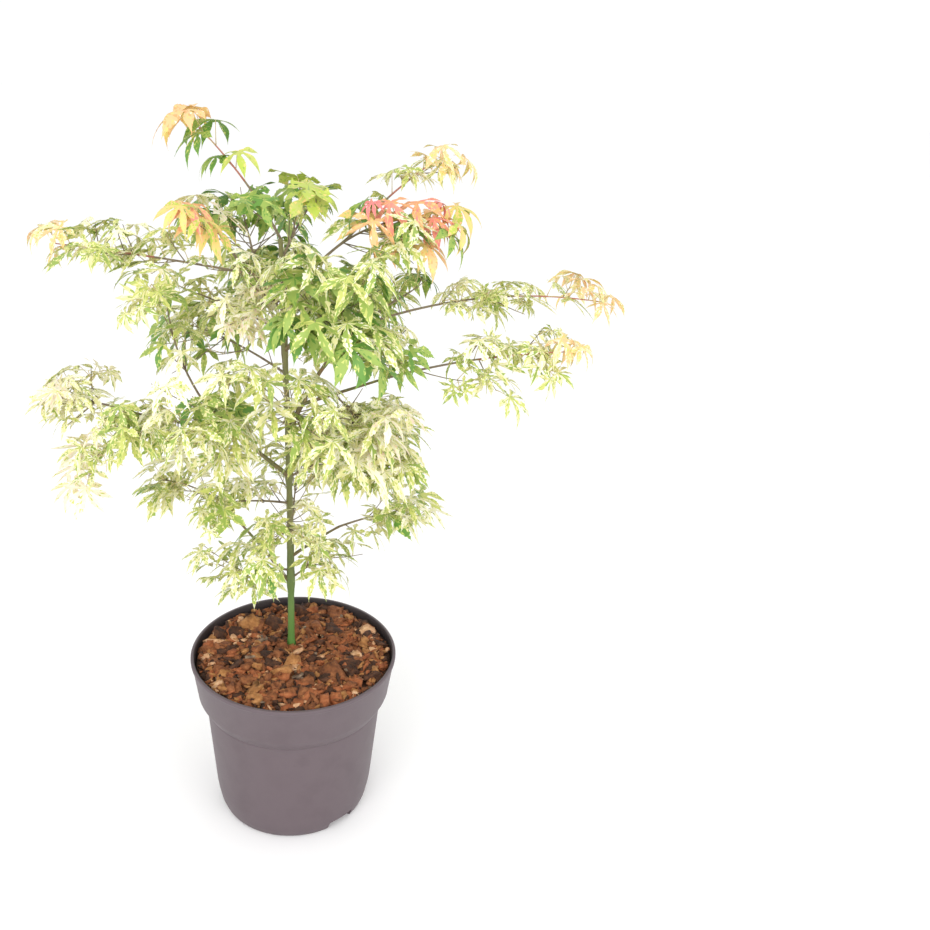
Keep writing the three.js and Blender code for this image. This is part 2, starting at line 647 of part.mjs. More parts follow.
function mixSolid() {
  const inner = innerOutline(MIX.clearance);
  const edge = POT.collarFootRadius - POT.wall - MIX.clearance;
  const dome = [1, 2 / 3, 1 / 3, 0].map((share) => [edge * share, mixHeight(edge * share)]);
  const mix = lathe([...inner, ...dome], POT.sides);
  const random = randomStream(CHIPS.seed);
  const room = edge - CHIPS.edge;
  const goldenAngle = 137.508;
  const chips = [];
  for (let i = 0; i < CHIPS.count; i += 1) {
    const radius = room * Math.sqrt((i + 0.5) / CHIPS.count);
    const bearing = radians(goldenAngle * i + between(random, -CHIPS.stir, CHIPS.stir));
    const chip = chipGeometry(random);
    const x = radius * Math.cos(bearing);
    const y = radius * Math.sin(bearing);
    chip.translate(x, y, mixHeight(radius) + between(random, CHIPS.deepest, CHIPS.highest));
    const fromTrunk = Math.hypot(x - TRUNK.x, y - TRUNK.y);
    if (fromTrunk > FLARE.radius + CHIPS.trunkGap) chips.push(solidOf(chip));
  }
  return closedBody(joined([mix, ...chips]));
}

// The limbs as solids. A limb's root is cut clear of the limb that it grows from.

function limbSolid(name, grow = 0) {
  const { curve, radiusAt } = limbs.get(name);
  return taperedTube(curve, (t) => radiusAt(t) + grow, LIMB.sides, LIMB.segments);
}

function boughSolid(spec) {
  const bough = limbSolid(spec.name);
  return closedBody(bough.subtract(limbSolid(spec.from, CLEAR)));
}

const model = new THREE.Group();
model.name = "potted_maple";

function place(name, solid, look) {
  const faces = geometryOf(solid).toNonIndexed();
  faces.computeVertexNormals();
  const mesh = new THREE.Mesh(faces, new THREE.MeshStandardMaterial(COLOURS[look]));
  mesh.name = name;
  model.add(mesh);
}

place("pot", potSolid(), "pot");
place("bark_mix", mixSolid(), "mix");
place("trunk", limbSolid("trunk"), "stem");
BOUGHS.forEach((spec) => place(`bough_${spec.name}`, boughSolid(spec), "bough"));

const grownLimbs = joined([...limbs.keys()].map((name) => limbSolid(name, CLEAR)));
MASSES.forEach((spec, mass) => place(`foliage_${spec.name}`, massSolid(mass, grownLimbs), "leaves"));

export default model;
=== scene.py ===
# A young variegated Japanese maple in a round nursery pot: its bark, twigs, leaves, bark chips and plastic.
# Sizes are in millimetres and are turned into metres where a mesh is made. -Y faces the viewer.
import math
from collections import namedtuple

import bmesh
import bpy
import numpy as np
from mathutils import Matrix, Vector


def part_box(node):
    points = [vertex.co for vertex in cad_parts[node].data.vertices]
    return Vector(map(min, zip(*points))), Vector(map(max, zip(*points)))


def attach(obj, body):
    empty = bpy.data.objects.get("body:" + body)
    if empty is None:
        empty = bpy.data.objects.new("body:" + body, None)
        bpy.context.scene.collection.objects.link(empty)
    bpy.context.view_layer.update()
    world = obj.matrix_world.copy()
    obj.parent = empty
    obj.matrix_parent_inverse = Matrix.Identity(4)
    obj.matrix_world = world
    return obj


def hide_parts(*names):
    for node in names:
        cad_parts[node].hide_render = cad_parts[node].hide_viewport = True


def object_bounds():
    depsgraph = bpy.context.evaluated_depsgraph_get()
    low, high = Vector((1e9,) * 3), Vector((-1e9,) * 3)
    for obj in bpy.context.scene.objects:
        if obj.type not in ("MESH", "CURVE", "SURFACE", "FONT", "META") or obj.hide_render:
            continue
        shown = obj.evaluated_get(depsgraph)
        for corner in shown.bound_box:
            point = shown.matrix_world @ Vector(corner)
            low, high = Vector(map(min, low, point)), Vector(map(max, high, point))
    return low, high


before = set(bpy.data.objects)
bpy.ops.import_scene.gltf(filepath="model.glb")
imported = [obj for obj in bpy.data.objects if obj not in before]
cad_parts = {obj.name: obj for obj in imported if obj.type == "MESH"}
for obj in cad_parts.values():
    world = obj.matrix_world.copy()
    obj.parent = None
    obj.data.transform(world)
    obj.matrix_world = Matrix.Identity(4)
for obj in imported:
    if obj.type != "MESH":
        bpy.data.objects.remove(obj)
cad_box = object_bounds()

MM = 0.001
BODY = "root"
UP = np.array([0.0, 0.0, 1.0])
whole_low, whole_high = (np.array(corner) / MM for corner in cad_box)

# The pot and its filling, as the frame has them

POT_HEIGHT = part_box("pot")[1].z / MM
RIM_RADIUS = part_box("pot")[1].x / MM
COLLAR_HEIGHT = 39
COLLAR_FOOT_RADIUS = 89
BODY_TOP_RADIUS = 83
BODY_FOOT_RADIUS = 71.5
BASE_RADIUS = 67.5
WALL = 1.8
POT_FLOOR = 14
POT_SIDES = 160
POT_CREASE = 38  # degrees between faces from which an edge is sharp
NOTCH = {"count": 3, "first_bearing": -51, "width": 28, "height": 10, "inner_radius": 61, "depth": 14}
NOTCH_ROUNDING = 1.6
MIX_EDGE_HEIGHT = 153
MIX_CROWN = 8
MIX_TOP = MIX_EDGE_HEIGHT + MIX_CROWN

# The limbs and the foliage, by the same rule as the solids. Heights are measured from the top of the mix, and
# bearings in degrees from +X towards +Y.

CLEAR = 0.3
TRUNK = {"x": -3, "y": 14, "lean_x": -8, "lean_y": -14, "height": 392, "foot": 3.2, "tip": 1.6}
FLARE = {"radius": 4.4, "height": 14}
SHOOT = {"spread": 52, "lift": 0.3, "sag": 0.06, "probes": (0.45, 0.75, 1), "turn": 60, "root_offset": 0.2}
# Where leaves stand on a shoot or at the end of a stem, how they turn about it, and how they lean out from it
SHOOT_LEAVES = ((0.96, 0, 55), (0.86, 180, 55), (0.76, 0, 0))
STEM_LEAVES = ((0.98, 10, 48), (0.955, 190, 48), (0.93, 0, 0))
PAIRS = {"fewest": 3, "first": 0.26, "lead": 0.6, "room": 0.4, "bare": 0.2, "spin": 25, "stir": 20}
PAIR_SPACING = {"forked": 1.2, "bare": 0.95}  # in blade lengths
SHOOT_LENGTH = {"least": 0.55, "most": 0.95, "at_root": 1.15, "at_tip": 0.55}
SEEDS = {"twig": 1000, "leaf": 5000, "mass": 7919, "place": 131, "attempt": 17, "infill": 400}
MESH_SEEDS = {"blade": 10, "bed": 5, "chips": 12, "limb": 70}
LEAF = {
    "smallest": 0.8,
    "largest": 1.2,
    "petiole": 0.52,
    "centre": 0.14,
    "curl": 0.16,
    "least_droop": 14,
    "most_droop": 62,
    "roll": 30,
    "turn": 60,
    "tries": 26,
    "rising": (0.1, 0.7),  # how steeply its stalk rises
    "stalk_probe": 0.6,
    "probes": (0.5, 0.78, 1),
    "middle": (0, 0.3, 0.03),  # the point that stands for a whole blade
    "lift": 0.4,  # how much of its droop a blade loses where its lobes bend
}
FIVE_LOBES = ((-104, 0.56), (-50, 0.86), (0, 1), (50, 0.86), (104, 0.56))
THREE_LOBES = ((-66, 0.78), (0, 1), (66, 0.78))
SMALL_LEAF = 35
SPACE = {"leaves": 1.55, "margin": 2, "limb_gap": 1.6, "lowest": 173, "leaf_gap": 0.62}

# Each bough: the limb that it starts on, at a height on the trunk or a share of a bough, then its bearing,
# reach, rise and arch, and its radius at its root and at its tip
BOUGHS = {
    "right": ("trunk", 216, -10, 60, 106, 15, 2.7, 1.6),
    "right_low": ("right", 0.28, -23, 74, 35, 0, 1.9, 1.3),
    "left": ("trunk", 179, -164, 62, 61, 0, 2.4, 1.5),
    "left_long": ("left", 0.86, 172, 84, 10, -5, 1.6, 1.2),
    "left_high": ("trunk", 343, 180, 36, 31, 0, 1.6, 1.3),
    "top_right": ("trunk", 339, 10, 52, 52, 5, 1.7, 1.3),
    "low_left": ("trunk", 67, -172, 52, 77, 3, 1.9, 1.3),
    "low_right": ("trunk", 96, -12, 44, 36, 2, 1.8, 1.3),
    "front": ("trunk", 203, -84, 52, 54, 6, 2.0, 1.4),
    "back": ("trunk", 233, 96, 58, 62, 8, 2.1, 1.4),
    "front_high": ("trunk", 297, -62, 46, 34, 4, 1.7, 1.3),
    "back_high": ("trunk", 315, 118, 52, 42, 5, 1.7, 1.3),
}

# Each mass of foliage: its stem, placed like a bough, then the length of its blades, the share of the stem
# along which its shoots branch, its look, and how many finer shoots are tried for each 100 mm of stem
Mass = namedtuple("Mass", "parent at bearing reach rise arch blade forks look fill")
MASSES = {
    "leader": Mass("trunk", 392, 180, 60, 82, 8, 36, 0, "sunrise", 20),
    "crown": Mass("trunk", 374, 14, 30, 54, 4, 36, 0, "lime", 78),
    "top_right": Mass("top_right", 1, 5, 70, 64, 6, 27, 0, "far", 3),
    "gold_right": Mass("top_right", 0.62, -12, 88, 42, 20, 44, 0, "sunset", 36),
    "pink_left": Mass("left_high", 1, -172, 26, 34, 3, 40, 0, "dusk", 5),
    "far_left": Mass("left_high", 0.6, 173, 160, 16, 3, 30, 0, "shady", 6),
    "left_upright": Mass("left", 1, 180, 36, 116, -20, 36, 0.4, "mixed", 2),
    "left_middle": Mass("left_long", 0.45, -128, 44, 22, 0, 34, 0.6, "lacy", 30),
    "left_tip": Mass("left_long", 1, 172, 54, 8, 4, 32, 0.6, "pale", 18),
    "left_hanging": Mass("left_long", 0.9, -170, 42, -56, 8, 30, 0, "blush", 5),
    "right_long": Mass("right", 1, 6, 213, 18, 28, 30, 0.1, "far", 3),
    "right_low": Mass("right_low", 1, -7, 152, 32, 10, 31, 0.15, "far", 3),
    "low_left": Mass("low_left", 1, 180, 58, 34, 14, 34, 0.6, "lacy", 6),
    "foot_left": Mass("trunk", 82, -160, 48, 8, 6, 34, 0.7, "lacy", 6),
    "low_right": Mass("low_right", 1, 0, 66, 18, 4, 34, 0.6, "lacy", 7),
    "foot_right": Mass("trunk", 73, -18, 36, 30, 3, 34, 0.7, "lacy", 6),
    "mid_right": Mass("trunk", 178, -14, 76, 44, 4, 38, 0.7, "lacy", 48),
    "mid_left": Mass("trunk", 152, -146, 68, 20, 4, 34.5, 0.7, "lacy", 12),
    "front": Mass("front", 1, -92, 52, 22, 6, 42, 0.7, "lacy", 46),
    "front_high": Mass("front_high", 1, -78, 54, 20, 8, 44, 0.7, "green", 44),
    "back": Mass("back", 1, 98, 70, 34, 8, 42, 0.7, "green", 26),
    "back_high": Mass("back_high", 1, 104, 62, 38, 8, 44, 0.7, "deep", 14),
    "front_left": Mass("left", 0.75, -97, 66, 42, 8, 39, 0.5, "mixed", 30),
    "back_left": Mass("back", 0.5, 152, 92, 28, 8, 40, 0.7, "mixed", 12),
    "back_right": Mass("back", 0.72, 40, 84, 30, 8, 40, 0.7, "green", 26),
    "front_right": Mass("right_low", 0.4, -72, 56, 0, 0, 40, 0.7, "pale", 30),
    "right_middle": Mass("right", 0.66, -40, 64, 20, 8, 36, 0.5, "green", 44),
    "back_low": Mass("trunk", 110, 84, 66, 52, 6, 36, 0.7, "lacy", 8),
    "front_low": Mass("trunk", 126, -96, 58, 26, 6, 34, 0.7, "lacy", 12),
    "high_left": Mass("trunk", 312, 166, 84, 30, 6, 34.5, 0.7, "lacy", 10),
    "high_right": Mass("right", 0.84, 20, 66, 42, 6, 34, 0.6, "mixed", 30),
    "high_front": Mass("trunk", 330, -106, 46, 24, 5, 34, 0.7, "pale", 50),
}
MASS_NAMES = list(MASSES)

# Leaf colours, in sRGB
LEAF_COLOURS = {
    "cream": (241, 237, 210),
    "blush": (243, 218, 196),
    "pale": (229, 224, 162),
    "lime": (182, 200, 78),
    "mid": (194, 200, 106),
    "green": (146, 170, 76),
    "deep": (96, 142, 52),
    "gold": (232, 204, 122),
    "peach": (243, 192, 136),
    "orange": (238, 170, 108),
    "salmon": (240, 146, 126),
    "red": (226, 126, 126),
}
LEAF_SLOTS = list(LEAF_COLOURS)

# How a leaf is coloured: how often each colour falls on a whole lobe, how often each falls on a fleck and
# which share of a lobe's faces are flecks, then the same for its margins
SCHEMES = {
    "variegated": (
        {"mid": 40, "pale": 34, "green": 26},
        ({"pale": 26, "green": 28, "mid": 18, "cream": 28}, 0.6),
        ({"cream": 60, "pale": 40}, 0.34),
    ),
    "creamy": (
        {"pale": 50, "cream": 50},
        ({"cream": 38, "pale": 26, "mid": 24, "green": 12}, 0.6),
        ({"cream": 1}, 0.3),
    ),
    "blushed": (
        {"cream": 52, "pale": 48},
        ({"blush": 48, "cream": 26, "mid": 26}, 0.5),
        ({"blush": 50, "cream": 50}, 0.3),
    ),
    "leafy": (
        {"mid": 54, "green": 46},
        ({"green": 40, "mid": 24, "pale": 36}, 0.5),
        ({"pale": 1}, 0.16),
    ),
    "green": (
        {"green": 58, "deep": 42},
        ({"deep": 50, "green": 40, "mid": 10}, 0.3),
        ({"mid": 1}, 0.08),
    ),
    "edged": (
        {"green": 74, "deep": 12, "mid": 14},
        ({"green": 44, "mid": 40, "pale": 16}, 0.28),
        ({"pale": 50, "mid": 50}, 0.3),
    ),
    "lime": (
        {"lime": 66, "mid": 34},
        ({"lime": 50, "mid": 34, "green": 16}, 0.4),
        ({"gold": 1}, 0.1),
    ),
    "gold": (
        {"gold": 66, "lime": 34},
        ({"gold": 34, "peach": 30, "lime": 16, "mid": 20}, 0.45),
        ({"peach": 1}, 0.14),
    ),
    "peach": (
        {"peach": 60, "gold": 40},
        ({"peach": 40, "orange": 26, "gold": 34}, 0.45),
        ({"orange": 50, "cream": 50}, 0.14),
    ),
    "salmon": (
        {"orange": 40, "salmon": 36, "peach": 24},
        ({"salmon": 44, "peach": 38, "red": 18}, 0.4),
        ({"peach": 1}, 0.1),
    ),
    "ruby": (
        {"red": 56, "salmon": 44},
        ({"red": 50, "salmon": 34, "peach": 16}, 0.4),
        ({"salmon": 1}, 0.1),
    ),
    "dawn": (
        {"gold": 44, "peach": 32, "pale": 24},
        ({"peach": 34, "pale": 34, "mid": 18, "cream": 14}, 0.5),
        ({"cream": 1}, 0.16),
    ),
}

# The looks of the masses. kinds says how often a place holds each kind of leaf, "tiny" being a spray of them.
# broad and fine are the schemes of broad leaves and of the others, and size is a leaf's against the solid's.
# young is the scheme of the leaves beyond the share young_from of the stem. top is the scheme of the highest
# leaves, their share and their size. Between the shares in bare the stem has no leaves, and low is the scheme
# of those below it and the height that they may reach. Above highest the photograph shows sky. wide is the
# widest angle of a finer shoot.
Look = namedtuple(
    "Look",
    "kinds broad fine size young young_from top bare low highest wide",
    defaults=(None, None, 1, None, 0.94, (None, 0, 1), (1, 1), None, math.inf, 84),
)
LOOKS = {
    "sunrise": Look(
        kinds={"arched": 60, "wide": 40},
        broad={"lime": 60, "green": 24, "gold": 16},
        young="peach",
        bare=(0.32, 0.55),
        low=("green", 590),
    ),
    "dusk": Look(
        kinds={"arched": 76, "mottled": 24},
        broad={"gold": 44, "peach": 32, "edged": 14, "salmon": 10},
        fine={"blushed": 60, "creamy": 40},
    ),
    "sunset": Look(
        kinds={"arched": 84, "broad": 9, "mottled": 7},
        broad={"peach": 36, "salmon": 24, "gold": 28, "green": 12},
        fine={"creamy": 50, "variegated": 50},
        top=("ruby", 0.08, 0.54),
        wide=155,
    ),
    "lime": Look(
        kinds={"wide": 80, "mottled": 20},
        broad={"lime": 44, "edged": 22, "green": 34},
        fine={"leafy": 40, "variegated": 60},
        size=1.1,
        top=("lime", 0.3, 1),
        highest=600,
        wide=135,
    ),
    "green": Look(
        kinds={"arched": 40, "broad": 10, "mottled": 50},
        broad={"green": 60, "edged": 40},
        fine={"leafy": 46, "variegated": 54},
    ),
    "deep": Look(
        kinds={"broad": 78, "mottled": 22},
        broad={"green": 74, "edged": 26},
        fine={"leafy": 1},
        highest=562,
    ),
    "mixed": Look(
        kinds={"arched": 24, "broad": 4, "mottled": 66, "tiny": 6},
        broad={"edged": 54, "green": 46},
        fine={"variegated": 52, "leafy": 30, "creamy": 18},
    ),
    "lacy": Look(
        kinds={"broad": 6, "mottled": 84, "tiny": 10},
        broad={"edged": 1},
        fine={"variegated": 56, "creamy": 20, "leafy": 24},
    ),
    "pale": Look(
        kinds={"mottled": 90, "tiny": 10},
        fine={"creamy": 48, "variegated": 38, "blushed": 14},
        young="blushed",
    ),
    "blush": Look(
        kinds={"mottled": 90, "tiny": 10},
        fine={"blushed": 26, "creamy": 20, "variegated": 54},
        young="blushed",
    ),
    "far": Look(
        kinds={"mottled": 84, "tiny": 16},
        fine={"variegated": 50, "leafy": 30, "creamy": 20},
        young="dawn",
        young_from=0.8,
    ),
}
LOOKS["shady"] = LOOKS["far"]._replace(fine={"variegated": 34, "leafy": 50, "creamy": 16})
BROAD_KINDS = ("broad", "wide", "arched")
ARCHED_YOUNG = ("far", "shady")  # the looks whose youngest leaves are arched
RED_STEMMED = ("far", "shady", "sunrise", "dusk", "sunset")  # the looks of stems that are still red

# Numbers that repeat, curves and their spaces


class Stream:
    """A repeatable stream of numbers from 0 to 1, the same as the solids are grown with."""

    MODULUS = 2147483647

    def __init__(self, seed):
        self.state = seed % (self.MODULUS - 1) + 1
        for _ in range(4):
            self.next()

    def next(self):
        self.state = self.state * 16807 % self.MODULUS
        return (self.state - 1) / (self.MODULUS - 1)

    def between(self, low, high):
        return low + (high - low) * self.next()

    def pick(self, shares):
        """One of the keys of shares, as often as its value says."""
        left = self.next() * sum(shares.values())
        for key, share in shares.items():
            left -= share
            if left <= 0:
                break
        return key


def unit(vector):
    return vector / np.linalg.norm(vector)


def turned(axis, towards, angle):
    """An axis turned by an angle towards another that is square to it."""
    return axis * math.cos(angle) + towards * math.sin(angle)


def around(sides):
    """The angles of that many points round a circle."""
    return np.linspace(0, 2 * math.pi, sides, endpoint=False)


class Curve:
    """A curve of three points: it leaves start towards middle, and arrives at end from there."""

    def __init__(self, start, middle, end):
        self.start, self.middle, self.end = start, middle, end

    def point(self, t):
        t = np.asarray(t, float)[..., None]
        return (1 - t) ** 2 * self.start + 2 * t * (1 - t) * self.middle + t**2 * self.end

    def tangent(self, t):
        return unit((1 - t) * (self.middle - self.start) + t * (self.end - self.middle))

    def length(self):
        places = self.point(np.linspace(0, 1, 201))
        return np.linalg.norm(np.diff(places, axis=0), axis=1).sum()


def limb_curve(start, bearing, reach, rise, arch):
    heading = np.array([math.cos(math.radians(bearing)), math.sin(math.radians(bearing)), 0])
    end = start + heading * reach + UP * rise
    lifted = (UP * reach - heading * rise) * arch / math.hypot(reach, rise)
    return Curve(start, (start + end) / 2 + lifted, end)


def cross_axes(tangent):
    side = np.cross(tangent, UP)
    side = unit(side) if side @ side > 1e-4 else np.array([0.0, -1.0, 0.0])
    return side, unit(np.cross(side, tangent))


def trunk_radius(t):
    low = np.maximum(0, 1 - t * TRUNK["height"] / FLARE["height"])
    return TRUNK["foot"] + (TRUNK["tip"] - TRUNK["foot"]) * t + (FLARE["radius"] - TRUNK["foot"]) * low**2


def taper(root, tip):
    return lambda t: root + (tip - root) * t


trunk_foot = np.array([TRUNK["x"], TRUNK["y"], MIX_TOP + CLEAR], float)
trunk_curve = Curve(
    trunk_foot,
    trunk_foot + UP * TRUNK["height"] / 2,
    trunk_foot + [TRUNK["lean_x"], TRUNK["lean_y"], TRUNK["height"]],
)
limbs = {"trunk": (trunk_curve, trunk_radius)}


def start_share(parent, at):
    return at / TRUNK["height"] if parent == "trunk" else at


for name, (parent, at, bearing, reach, rise, arch, root, tip) in BOUGHS.items():
    start = limbs[parent][0].point(start_share(parent, at))
    limbs[name] = (limb_curve(start, bearing, reach, rise, arch), taper(root, tip))


def stem_curve(parent, at, bearing, reach, rise, arch):
    curve = limbs[parent][0]
    share = start_share(parent, at)
    start = curve.point(share)
    if share == 1:
        start = start + curve.tangent(1) * CLEAR
    return limb_curve(start, bearing, reach, rise, arch)


stems = [stem_curve(*mass[:6]) for mass in MASSES.values()]
blades = [mass.blade for mass in MASSES.values()]
LINES = 8  # straight lines that stand for a curve when a distance from it is measured


def lines_of(curve):
    places = curve.point(np.linspace(0, 1, LINES + 1))
    return places[:-1], places[1:]


stem_from, stem_to = (np.array(ends) for ends in zip(*map(lines_of, stems)))
limb_from, limb_to = (np.vstack(ends) for ends in zip(*(lines_of(curve) for curve, _ in limbs.values())))
line_shares = np.linspace(0, 1, LINES + 1)[:-1]
limb_radius = np.hstack([radius(line_shares) for _, radius in limbs.values()])


def distances(places, line_from, line_to):
    """How far each place is from each line."""
    along = line_to - line_from
    offset = places[:, None, :] - line_from
    share = np.clip((offset * along).sum(-1) / (along * along).sum(-1), 0, 1)
    return np.linalg.norm(offset - share[..., None] * along, axis=-1)


def in_space(places, mass, reach=SPACE["leaves"]):
    """True if all places are in the mass's own space: nearest to its stem, clear of limbs, above the pot."""
    places = np.atleast_2d(places)
    if places[:, 2].min() < SPACE["lowest"]:
        return False
    to_stems = distances(places, stem_from.reshape(-1, 3), stem_to.reshape(-1, 3))
    to_stems = to_stems.reshape(len(places), len(stems), LINES).min(2)
    own = to_stems[:, mass].copy()
    if own.max() > blades[mass] * reach:
        return False
    to_stems[:, mass] = np.inf
    if (own + SPACE["margin"] >= to_stems.min(1)).any():
        return False
    return (distances(places, limb_from, limb_to) - limb_radius).min() >= SPACE["limb_gap"]


# Where leaves go


class Pose:
    """Where a leaf's petiole starts and ends, and the directions along, across and square to its blade."""

    def __init__(self, root, direction, length, random):
        self.root, self.length = root, length
        rising = unit(direction + UP * random.between(*LEAF["rising"]))
        self.base = root + rising * length * LEAF["petiole"]
        turn = math.radians(random.between(-LEAF["turn"], LEAF["turn"]))
        heading = np.array([direction[0], direction[1], 0])
        heading = unit(heading) if heading @ heading > 1e-4 else np.array([1.0, 0, 0])
        heading = turned(heading, np.cross(UP, heading), turn)
        droop = math.radians(random.between(LEAF["least_droop"], LEAF["most_droop"]))
        self.lift = droop * LEAF["lift"]
        self.along = turned(heading, -UP, droop)
        square = turned(UP, heading, droop)
        roll = math.radians(random.between(-LEAF["roll"], LEAF["roll"]))
        self.square = turned(square, np.cross(self.along, square), roll)
        self.across = np.cross(self.square, self.along)
        self.middle = self.on_blade(*LEAF["middle"])

    def on_blade(self, angle, distance, drop):
        angle = math.radians(angle)
        return (
            self.base
            + self.along * self.length * (LEAF["centre"] + distance * math.cos(angle))
            + self.across * self.length * distance * math.sin(angle)
            - self.square * self.length * drop
        )

    def lifted(self):
        """The directions along and square to the blade near its petiole, from where its lobes bend down."""
        along = turned(self.along, self.square, self.lift)
        return along, np.cross(along, self.across)

    def probes(self):
        lobes = THREE_LOBES if self.length < SMALL_LEAF else FIVE_LOBES
        centre = self.on_blade(0, 0, 0)
        out = 1 - LEAF["centre"]
        tips = [self.on_blade(angle, reach * out, LEAF["curl"] * reach) for angle, reach in lobes]
        on_lobes = [centre + (tip - centre) * share for tip in tips for share in LEAF["probes"]]
        on_stalk = self.root + (self.base - self.root) * LEAF["stalk_probe"]
        return np.array([on_stalk, self.base, centre, *on_lobes])


def try_pose(
    mass, taken, root, direction, place, size=1.0, gap=SPACE["leaf_gap"], reach=SPACE["leaves"], box=None
):
    """The first of a few poses of a leaf that stays in its space and off the leaves before it, or None."""
    for attempt in range(LEAF["tries"]):
        seed = SEEDS["leaf"] + SEEDS["mass"] * mass + SEEDS["place"] * place + SEEDS["attempt"] * attempt
        random = Stream(seed)
        length = blades[mass] * size * random.between(LEAF["smallest"], LEAF["largest"])
        pose = Pose(root, direction, length, random)
        if any(np.linalg.norm(other - pose.middle) < length * gap for other in taken):
            continue
        probes = pose.probes()
        if box and ((probes < box[0]).any() or (probes > box[1]).any()):
            continue
        if in_space(probes, mass, reach):
            return pose
    return None


def pair_direction(tangent, spin, spread):
    side, over = cross_axes(tangent)
    outward = turned(side, over, math.radians(spin))
    return unit(turned(tangent, outward, math.radians(spread)) + UP * SHOOT["lift"])


def shoot_curve(start, direction, length):
    return Curve(
        start + direction * SHOOT["root_offset"],
        start + direction * length / 2 - UP * SHOOT["sag"] * length,
        start + direction * length,
    )


# The finer shoots between those that the solids have
INFILL = {
    "first": 0.08,  # the share of the stem where they begin
    "size": 0.92,
    "gap": 0.46,
    "reach": 2.1,  # how far from its stem a leaf may reach, in blade lengths
    "stray": 14,  # how far outside its solid's box a leaf may reach to the sides and below
    "rise": 2,  # and how far above it
    "inner_hang": 20,  # the same below and above a mass that is in front of the trunk
    "inner_rise": 24,
    "least": 0.45,  # a shoot's length in blade lengths
    "most": 1.7,
    "narrow": 34,  # the least angle between a shoot and its stem
    "lean": 78,  # degrees that a shoot leaves the level of its stem by
    "stir": 20,
    "tries": 5,
    "leaves": ((0.97, 0, 0), (0.72, 0, 56), (0.72, 180, 56)),
}
INNER_MASSES = ("front", "front_left", "mid_right", "front_high", "high_front", "crown")
OPEN_MASSES = ("front", "front_low")
TRUNK_OPENING = 12


def grow(mass):
    """The shoots of a mass, and the poses of its leaves with each one's share of the stem."""
    name = MASS_NAMES[mass]
    forks, look = MASSES[name].forks, LOOKS[MASSES[name].look]
    low_end, high_start = look.bare
    low_top = look.low[1] if look.low else look.highest
    stem, leaf = stems[mass], blades[mass]
    random = Stream(SEEDS["twig"] + SEEDS["mass"] * mass)
    spacing = leaf * PAIR_SPACING["bare" if forks < PAIRS["bare"] else "forked"]
    pairs = max(PAIRS["fewest"], math.floor(stem.length() / spacing + 0.5))
    shoots, poses, taken = [], [], []
    places = 0

    def try_leaf(curve, at, direction, share, **fit):
        nonlocal places
        root = curve.point(at) + direction * SHOOT["root_offset"]
        pose = try_pose(mass, taken, root, direction, places, **fit)
        places += 1
        if pose:
            poses.append((pose, share))
            taken.append(pose.middle)
        return pose

    def try_end(curve, ends, turn, share):
        for at, spin, spread in ends:
            tangent = curve.tangent(1)
            direction = pair_direction(tangent, spin + turn, spread) if spread else tangent
            try_leaf(curve, at, direction, share)

    for pair in range(pairs):
        share = PAIRS["first"] + (1 - PAIRS["first"]) * (pair + PAIRS["lead"]) / (pairs + PAIRS["room"])
        spin = PAIRS["spin"] + 90 * (pair % 2) + random.between(-PAIRS["stir"], PAIRS["stir"])
        for half in (0, 180):
            direction = pair_direction(stem.tangent(share), spin + half, SHOOT["spread"])
            length = leaf * random.between(SHOOT_LENGTH["least"], SHOOT_LENGTH["most"])
            length *= SHOOT_LENGTH["at_root"] + (SHOOT_LENGTH["at_tip"] - SHOOT_LENGTH["at_root"]) * share
            shoot = shoot_curve(stem.point(share), direction, length)
            if share < forks and in_space(shoot.point(SHOOT["probes"]), mass):
                shoots.append(shoot)
                try_end(shoot, SHOOT_LEAVES, random.between(0, SHOOT["turn"]), share)
            else:
                try_leaf(stem, share, direction, share)
    try_end(stem, STEM_LEAVES, 0, 1)

    # finer shoots between the first ones, each with a leaf at its end and a pair behind it
    low, high = (np.array(corner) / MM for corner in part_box(f"foliage_{name}"))
    box = np.maximum(low - INFILL["stray"], whole_low), np.minimum(high + INFILL["stray"], whole_high)
    inner = name in INNER_MASSES
    box[0][2] = max(whole_low[2], low[2] - INFILL["inner_hang" if inner else "stray"])
    box[1][2] = min(whole_high[2], high[2] + INFILL["inner_rise" if inner else "rise"], low_top)
    fit = {"size": INFILL["size"], "gap": INFILL["gap"], "reach": INFILL["reach"], "box": box}
    random = Stream(SEEDS["infill"] + SEEDS["mass"] * mass)
    for number in range(round(MASSES[name].fill * stem.length() / 100)):
        for _ in range(INFILL["tries"]):
            share = random.between(INFILL["first"], low_end)
            spin = 180 * (number % 2) + random.between(-INFILL["lean"], INFILL["lean"])
            direction = pair_direction(stem.tangent(share), spin, random.between(INFILL["narrow"], look.wide))
            length = leaf * random.between(INFILL["least"], INFILL["most"])
            shoot = shoot_curve(stem.point(share), direction, length)
            if not in_space(shoot.point(SHOOT["probes"]), mass, INFILL["reach"]):
                continue
            grown = False
            for at, turn, spread in INFILL["leaves"]:
                way = shoot.tangent(at)
                if spread:
                    way = pair_direction(way, turn + random.between(-INFILL["stir"], INFILL["stir"]), spread)
                grown = try_leaf(shoot, at, way, share, **fit) or grown
            if grown:
                shoots.append(shoot)
                break

    def stays(pose, share):
        if low_end < share < high_start or (name in OPEN_MASSES and hides_trunk(pose)):
            return False
        return pose.middle[2] <= (look.highest if share > low_end else low_top)

    return shoots, [(pose, share) for pose, share in poses if stays(pose, share)]


def hides_trunk(pose):
    """True for a leaf in front of the trunk, where the photograph shows the bare trunk between the leaves."""
    share = (pose.middle[2] - trunk_foot[2]) / TRUNK["height"]
    return abs(pose.middle[0] - trunk_curve.point(share)[0]) < TRUNK_OPENING


# Leaf blades


